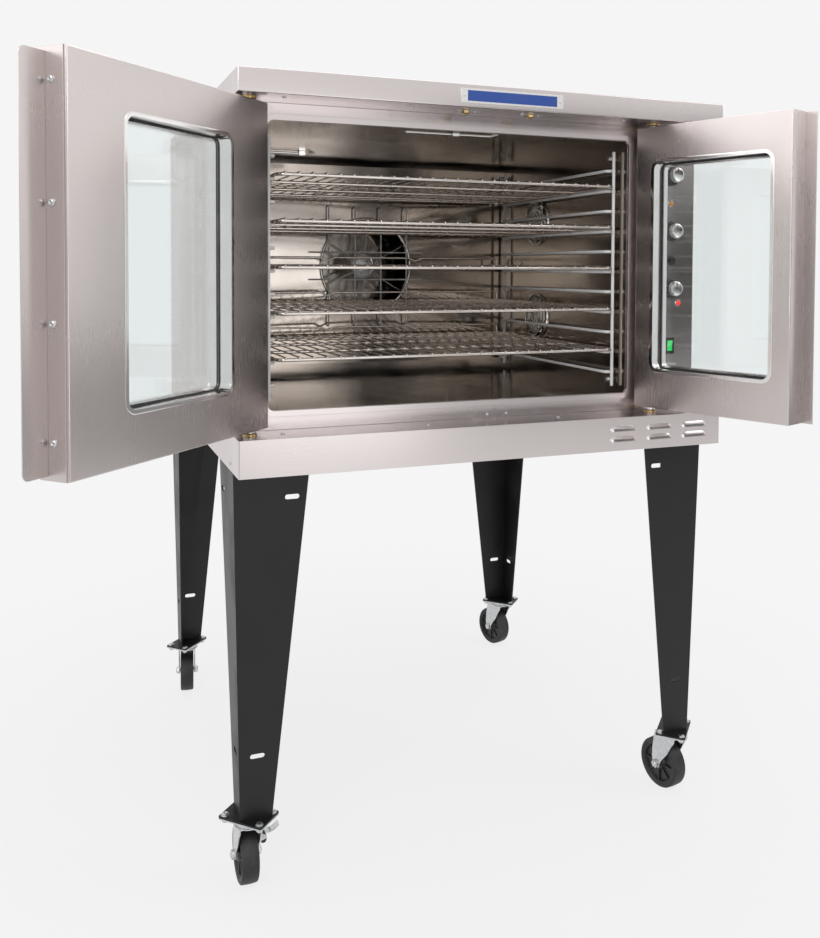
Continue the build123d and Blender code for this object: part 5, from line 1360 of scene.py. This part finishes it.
def make_nameplate():
    """A plain bright plate with a blue enamel field and two rivets."""
    low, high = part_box("nameplate")
    centre = ((low.x + high.x) / 2, high.y, (low.z + high.z) / 2)
    width, height = high.x - low.x, high.z - low.z
    plate = Form()
    outline = rounded_outline(width, height, 2 * MM)
    plate.plate(outline, centre, (1, 0, 0), (0, 0, 1), 1.0 * MM)
    eased(piece("nameplate_backing", plate.mesh("nameplate_backing", CAP_METAL), "oven", "stainless", "nameplate"), 0.3 * MM)
    field = Form()
    outline = rounded_outline(width - 26 * MM, height - 7 * MM, 1 * MM)
    field.plate(outline, (centre[0], low.y + 0.1 * MM, centre[2]), (1, 0, 0), (0, 0, 1), 0.35 * MM)
    eased(piece("nameplate_field", field.mesh("nameplate_field", BLUE_ENAMEL), "oven", "stainless"), 0.12 * MM)
    spots = [((centre[0] + side * (width / 2 - 6.5 * MM), low.y, centre[2]), (0, -1, 0)) for side in (-1, 1)]
    piece("nameplate_rivets", fixings(spots, RIVET, ZINC, 4), "oven", "zinc")


def make_controls():
    for name, sweep in (("thermostat_knob", 300), ("timer_knob", 330), ("fan_knob", 90)):
        make_knob(name, sweep)
    make_switches()
    make_inner_electrics()
    make_nameplate()


# ---------------------------------------------------------------- stand and casters
CASTERS = ("front_left", "front_right", "back_left", "back_right")


def make_legs():
    for name in CASTERS:
        dressed(f"{name}_leg", PAINT, "black_paint", 0.8 * MM)


def make_bolts():
    """Bolt heads above, nuts below and the threaded ends between them."""
    shanks, heads, nuts = Form(), [], []
    for low, high in solid_boxes("fasteners"):
        x, y = (low.x + high.x) / 2, (low.y + high.y) / 2
        at_foot = high.z < BASE_Z - 0.1
        head, nut = (4 * MM, 5 * MM) if at_foot else (6 * MM, 5 * MM)
        tail = 2 * MM if at_foot else 0.0
        heads.append(((x, y, high.z - head), (0, 0, 1)))
        nuts.append(((x, y, low.z + tail + nut), (0, 0, -1)))
        shanks.turned([(0, 0), (3.4 * MM, 0), (3.9 * MM, 0.5 * MM), (3.9 * MM, high.z - low.z - head), (0, high.z - low.z - head)],
                      (x, y, low.z), (0, 0, 1), 20)
    mesh = merged("stand_bolts", shanks.mesh("shanks", ZINC), fixings(heads, PLATE_BOLT, ZINC, 11), fixings(nuts, PLATE_NUT, ZINC, 12))
    piece("stand_bolts", mesh, "oven", "zinc", "fasteners")


def caster_axes(name):
    """A caster's own axes: X from the pivot to the axle, Z up, origin on the floor under the pivot."""
    pivot = Vector(JOINTS[f"{name}_swivel"]["pos_m"])
    axle = Vector(JOINTS[f"{name}_roll"]["pos_m"])
    reach = Vector((axle.x - pivot.x, axle.y - pivot.y, 0))
    ahead = reach.normalized()
    side = Vector((0, 0, 1)).cross(ahead)
    turn = Matrix((ahead, side, Vector((0, 0, 1)))).transposed().to_4x4()
    return Matrix.Translation((pivot.x, pivot.y, 0)) @ turn, reach.length, axle.z


def make_fork(name, place, trail, axle_z):
    """A pressed fork: a ball race, a crown, two flared arms, an axle with its nuts."""
    low, high = box_in(f"{name}_fork", place)
    top = high.z
    arm_in = 18 * MM
    wall = 3 * MM
    body = f"{name}_fork"
    race = Form(place)
    race.turned([(6.3 * MM, -1 * MM), (23 * MM, -1 * MM), (26 * MM, -2.2 * MM), (27 * MM, -4.5 * MM), (26 * MM, -6.6 * MM), (24.2 * MM, -7.2 * MM),
                 (26.6 * MM, -8.2 * MM), (26.6 * MM, -10.2 * MM), (24 * MM, -12 * MM), (14 * MM, -12 * MM), (6.3 * MM, -10 * MM)],
                (0, 0, top + 1 * MM), (0, 0, 1), 48, closed=True)
    piece(f"{name}_race", race.mesh("race", ZINC), body, "zinc", f"{name}_fork")
    crown_z = top - 8 * MM
    fork = Form(place)
    crown = [(-21 * MM, -20 * MM)] + [(x, y) for x, y in ((-16 * MM, -21 * MM), (trail - 2 * MM, -21 * MM))]
    crown += arc((trail - 2 * MM, -15 * MM), 6 * MM, -90, 0, 4) + arc((trail - 2 * MM, 15 * MM), 6 * MM, 0, 90, 4)
    crown += [(-16 * MM, 21 * MM), (-21 * MM, 20 * MM)]
    fork.plate(crown, (0, 0, crown_z - wall), (1, 0, 0), (0, 1, 0), wall)
    eye = 9.5 * MM
    outline = [(-21 * MM, crown_z), (-20 * MM, crown_z - 9 * MM), (-13 * MM, crown_z - 20 * MM), (-3 * MM, axle_z + 32 * MM),
               (trail - 15 * MM, axle_z + 12 * MM)]
    outline += arc((trail, axle_z), eye, 170, 350, 9)
    outline += [(trail + 12 * MM, axle_z + 12 * MM), (trail + 11 * MM, axle_z + 34 * MM), (trail + 6 * MM, crown_z - 8 * MM),
                (trail + 4 * MM, crown_z)]
    for side in (-1, 1):
        y = side * arm_in if side > 0 else -arm_in - wall
        fork.plate([(x, z) for x, z in outline], (0, y + wall, 0), (1, 0, 0), (0, 0, 1), wall)
    eased(piece(f"{name}_arms", fork.mesh("arms", ZINC), body, "zinc"), 1.0 * MM, 3)
    axle = Form(place)
    outer = arm_in + wall
    tip = outer + 7 * MM
    axle.turned([(0, -tip), (4.2 * MM, -tip), (4.9 * MM, -tip + 0.8 * MM), (4.9 * MM, tip - 0.8 * MM), (4.2 * MM, tip), (0, tip)],
                (trail, 0, axle_z), (0, 1, 0), 24)
    for side in (-1, 1):
        corner = 8.4 * MM
        loops = [[Vector((trail, side * outer, axle_z))]]
        for share, along in ((1.0, 0.0), (1.0, 4.8 * MM), (0.85, 5.8 * MM)):
            loops.append([Vector((trail + corner * share * cos(a), side * (outer + along), axle_z + corner * share * sin(a)))
                          for a in (pi / 3 * i for i in range(6))])
        loops.append([Vector((trail, side * (outer + 5.8 * MM), axle_z))])
        axle.loops(loops)
    piece(f"{name}_axle", axle.mesh("axle", ZINC), body, "zinc")
    return outer


def make_wheel(name, place, trail, axle_z):
    """A solid tyre on a ribbed hub with a bearing collar."""
    low, high = box_in(f"{name}_wheel", place)
    half = (high.y - low.y) / 2
    radius = axle_z
    body = f"{name}_wheel"
    tyre = Form(place)
    crown = [(39 * MM, half - 1.5 * MM), (43 * MM, half - 0.4 * MM), (46 * MM, half)]
    crown += [(radius - 5 * MM + 5 * MM * sin(a), half - 5 * MM + 5 * MM * cos(a)) for a in (pi / 12 * i for i in range(1, 5))]
    crown += [(radius - 0.5 * MM, half - 7 * MM), (radius, half - 13 * MM)]
    profile = crown + [(r, -y) for r, y in reversed(crown)]
    tyre.turned(profile, (trail, 0, axle_z), (0, 1, 0), 72, closed=True)
    piece(f"{name}_tyre", tyre.mesh("tyre", RUBBER), body, "black_rubber", body)
    hub = Form(place)
    side = [(39.5 * MM, half - 2 * MM), (37.5 * MM, half - 2 * MM), (35.5 * MM, half - 7 * MM), (16 * MM, half - 7.5 * MM),
            (13 * MM, half - 3 * MM), (12 * MM, half - 0.3 * MM), (7.5 * MM, half - 0.3 * MM), (7 * MM, half - 2 * MM), (5.1 * MM, half - 2 * MM)]
    hub.turned(side + [(r, -y) for r, y in reversed(side)], (trail, 0, axle_z), (0, 1, 0), 60, closed=True)
    piece(f"{name}_hub", hub.mesh("hub", HUB), body, "black_plastic")
    rib = Form()
    rib.box((trail + 13 * MM, -(half - 3.2 * MM), axle_z - 1.2 * MM), (trail + 37 * MM, half - 3.2 * MM, axle_z + 1.2 * MM))
    ribs = grown(ROUND, rib.mesh("rib", HUB), count=8, centre=(trail, 0, axle_z), axis=(0, 1, 0), sweep=2 * pi, finish=HUB)
    ribs.transform(place)
    eased(piece(f"{name}_hub_ribs", ribs, body, "black_plastic"), 0.5 * MM)
    bearing = Form(place)
    ends = [(5.2 * MM, half - 1 * MM), (8.6 * MM, half - 1 * MM), (8.6 * MM, half + 0.6 * MM), (5.2 * MM, half + 0.9 * MM)]
    for sign in (1, -1):
        bearing.turned([(r, y * sign) for r, y in ends], (trail, 0, axle_z), (0, 1, 0), 28, closed=True)
    piece(f"{name}_bearing", bearing.mesh("bearing", ZINC), body, "zinc")


def make_brake(name, place):
    """A curved zinc tongue over a black cam, between two ears of the fork."""
    joint = JOINTS[f"{name}_brake"]
    pin = place.inverted() @ Vector(joint["pos_m"])
    low, high = box_in(f"{name}_brake_lever", place)
    body = f"{name}_brake_lever"
    x0, x1 = low.x, high.x
    cam = Form(place)
    outline = arc((pin.y, pin.z), 5 * MM, 0, 180, 8) + [(pin.y - 5 * MM, pin.z - 8 * MM), (pin.y - 2.5 * MM, low.z + 0.5 * MM),
                                                        (pin.y + 3 * MM, low.z), (pin.y + 5 * MM, low.z + 2 * MM)]
    cam.plate(outline, (x0, 0, 0), (0, 1, 0), (0, 0, 1), x1 - x0)
    eased(piece(f"{name}_brake_cam", cam.mesh("brake_cam", PLASTIC), body, "black_plastic", f"{name}_brake_lever"), 0.7 * MM)
    tongue = Form(place)
    reach = 26 * MM
    steps = 9
    top, under = [], []
    for i in range(steps + 1):
        share = i / steps
        y = pin.y - 2 * MM - reach * share
        z = pin.z + 5 * MM + 9 * MM * share ** 1.6 - 3.2 * MM * sin(share * pi)
        top.append((y, z + 2 * MM))
        under.append((y, z))
    tongue.plate(top + under[::-1], (x0 + 1 * MM, 0, 0), (0, 1, 0), (0, 0, 1), x1 - x0 - 2 * MM)
    eased(piece(f"{name}_brake_tongue", tongue.mesh("brake_tongue", ZINC), body, "zinc"), 0.6 * MM)
    ears = Form(place)
    arm = 21 * MM
    for x in (x0 - 2.5 * MM, x1 + 0.5 * MM):
        shape = [(-arm, pin.z - 7 * MM), (-arm, pin.z + 7 * MM)] + arc((pin.y, pin.z), 4.5 * MM, 90, 270, 6)
        ears.plate(shape, (x, 0, 0), (0, 1, 0), (0, 0, 1), 2 * MM)
    ears.turned([(0, 0), (3 * MM, 0), (3 * MM, 0.8 * MM), (2 * MM, 1.2 * MM), (1.9 * MM, x1 - x0 + 4.6 * MM), (0, x1 - x0 + 5 * MM)],
                (x0 - 3.2 * MM, pin.y, pin.z), (1, 0, 0), 20)
    eased(piece(f"{name}_brake_ears", ears.mesh("brake_ears", ZINC), f"{name}_fork", "zinc"), 0.4 * MM)


def make_casters():
    dressed("caster_plates", ZINC, "zinc", 0.5 * MM)
    for name in CASTERS:
        place, trail, axle_z = caster_axes(name)
        make_fork(name, place, trail, axle_z)
        make_wheel(name, place, trail, axle_z)
        if name.startswith("front"):
            make_brake(name, place)


make_casing()
make_face()
make_cavity()
make_doors()
make_controls()
make_legs()
make_bolts()
make_casters()


# ---------------------------------------------------------------- floor, light and camera
def make_stage():
    """A pale floor that fades into a pale surround."""
    bpy.ops.mesh.primitive_circle_add(vertices=96, radius=40.0, fill_type="NGON", location=(0, 0, 0))
    floor = bpy.context.object
    floor.name = "floor"
    floor.data.transform(Matrix.Translation((0, 0, -0.4 * MM)))
    paper = bpy.data.materials.new("pale_floor")
    paper.use_nodes = True
    tree = paper.node_tree
    tree.nodes.clear()
    seen = seen_directly(tree)
    spread = add_node(tree, "ShaderNodeVectorMath", {"operation": "LENGTH"},
                      {0: add_node(tree, "ShaderNodeTexCoord", None, None, "Object")}, "Value")
    fade = add_node(tree, "ShaderNodeMapRange", {"clamp": True}, {0: spread, 1: 0.45, 2: 1.7, 3: 0.86, 4: 1.0})
    matt = add_node(tree, "ShaderNodeBsdfDiffuse", None, {"Color": (0.80, 0.80, 0.80, 1)})
    bright = add_node(tree, "ShaderNodeEmission", None, {"Color": (PALE, PALE, PALE, 1), "Strength": 1.0})
    mixed = add_node(tree, "ShaderNodeMixShader", None, {0: seen * fade, 1: matt, 2: bright})
    add_node(tree, "ShaderNodeOutputMaterial", None, {"Surface": mixed})
    floor.data.materials.append(paper)

    world = bpy.data.worlds.new("surround")
    bpy.context.scene.world = world
    world.use_nodes = True
    tree = world.node_tree
    tree.nodes.clear()
    seen = seen_directly(tree)
    shade = add_node(tree, "ShaderNodeMix", {"data_type": "RGBA"},
                     {0: seen, 6: (SURROUND, SURROUND, SURROUND, 1), 7: (PALE, PALE, PALE, 1)}, 2)
    back = add_node(tree, "ShaderNodeBackground", None, {"Color": shade, "Strength": 1.0})
    add_node(tree, "ShaderNodeOutputWorld", None, {"Surface": back})


def seen_directly(tree):
    """1 where the eye, or a mirror or glass, looks; 0 where the surface only lights the object."""
    looks = [add_node(tree, "ShaderNodeLightPath", None, None, name)
             for name in ("Is Camera Ray", "Is Glossy Ray", "Is Transmission Ray")]
    total = looks[0] + looks[1] + looks[2]
    return add_node(tree, "ShaderNodeClamp", None, {0: total})


PALE = 0.915            # what the eye sees of the surround
SURROUND = 0.55         # how strongly it lights the object


def add_lamp(name, at, towards, size, watts):
    data = bpy.data.lights.new(name, "AREA")
    data.shape = "RECTANGLE"
    data.size, data.size_y = size
    data.energy = watts
    lamp = bpy.data.objects.new(name, data)
    lamp.location = at
    lamp.rotation_mode = "QUATERNION"
    lamp.rotation_quaternion = (Vector(towards) - Vector(at)).to_track_quat("-Z", "Y")
    bpy.context.scene.collection.objects.link(lamp)
    return lamp


def make_lights():
    centre = (0.0, 0.0, 0.9)
    add_lamp("key", (-2.2, -3.2, 2.9), centre, (2.4, 1.8), 62.0)
    add_lamp("fill", (2.8, -2.0, 3.4), centre, (1.6, 2.0), 30.0)
    add_lamp("top", (0.2, 0.3, 3.9), centre, (2.6, 2.6), 30.0)


def make_card(name, corner_low, corner_high, shade):
    """A grey card that only mirrors see, so that bright metal has something to show."""
    low, high = Vector(corner_low), Vector(corner_high)
    flat = min(range(3), key=lambda i: high[i] - low[i])
    u, v = [i for i in range(3) if i != flat]
    corners = []
    for su, sv in ((0, 0), (1, 0), (1, 1), (0, 1)):
        corner = low.copy()
        corner[u] = high[u] if su else low[u]
        corner[v] = high[v] if sv else low[v]
        corners.append(corner)
    mesh = bpy.data.meshes.new(name)
    mesh.from_pydata(corners, [], [(0, 1, 2, 3)])
    card = bpy.data.objects.new(name, mesh)
    bpy.context.scene.collection.objects.link(card)
    material = bpy.data.materials.new(name)
    material.use_nodes = True
    tree = material.node_tree
    tree.nodes.clear()
    light = add_node(tree, "ShaderNodeEmission", None, {"Color": (shade, shade, shade, 1), "Strength": 1.0})
    add_node(tree, "ShaderNodeOutputMaterial", None, {"Surface": light})
    mesh.materials.append(material)
    card.visible_camera = False
    card.visible_diffuse = False
    card.visible_shadow = False
    card.visible_transmission = False


def make_cards():
    """What the bright metal mirrors: a dark side, a pale strip and the dim ground of the room."""
    make_card("dark_card_right", (0.75, -2.75, 0.55), (4.5, -2.75, 1.62), 0.05)
    make_card("pale_card", (-0.35, -2.75, 0.40), (0.62, -2.75, 1.50), 2.0)
    make_card("pale_card_right", (2.6, -1.2, 0.80), (2.6, 0.5, 2.1), 1.2)
    make_card("high_card_left", (-2.4, -1.6, 1.45), (-2.4, 1.2, 2.9), 1.7)
    make_card("low_card_right", (2.6, -1.6, 0.0), (2.6, 1.6, 0.62), 0.30)
    make_card("dark_card_left", (-2.6, -2.75, 0.2), (-1.25, -2.75, 2.2), 0.12)


EYE = (-0.7675, -2.008, 1.1032)
TURN, TILT, ROLL = 0.3633, 0.0326, -0.0035      # clockwise from +Y, downward, about the line of sight
SENSOR = 36.0
FOCAL = SENSOR * 936.0 / 938.0
SHIFT_X, SHIFT_Y = 0.0015, -0.1816


def make_camera():
    data = bpy.data.cameras.new("camera")
    data.sensor_width = SENSOR
    data.lens = FOCAL
    data.shift_x, data.shift_y = SHIFT_X, SHIFT_Y
    camera = bpy.data.objects.new("camera", data)
    camera.location = EYE
    camera.rotation_mode = "QUATERNION"
    look = (Matrix.Rotation(-TURN, 3, "Z") @ Matrix.Rotation(pi / 2 - TILT, 3, "X") @ Matrix.Rotation(-ROLL, 3, "Z"))
    camera.rotation_quaternion = look.to_quaternion()
    bpy.context.scene.collection.objects.link(camera)
    bpy.context.scene.camera = camera
    bpy.context.scene.view_settings.view_transform = "Standard"


make_camera()
make_stage()
make_lights()
make_cards()
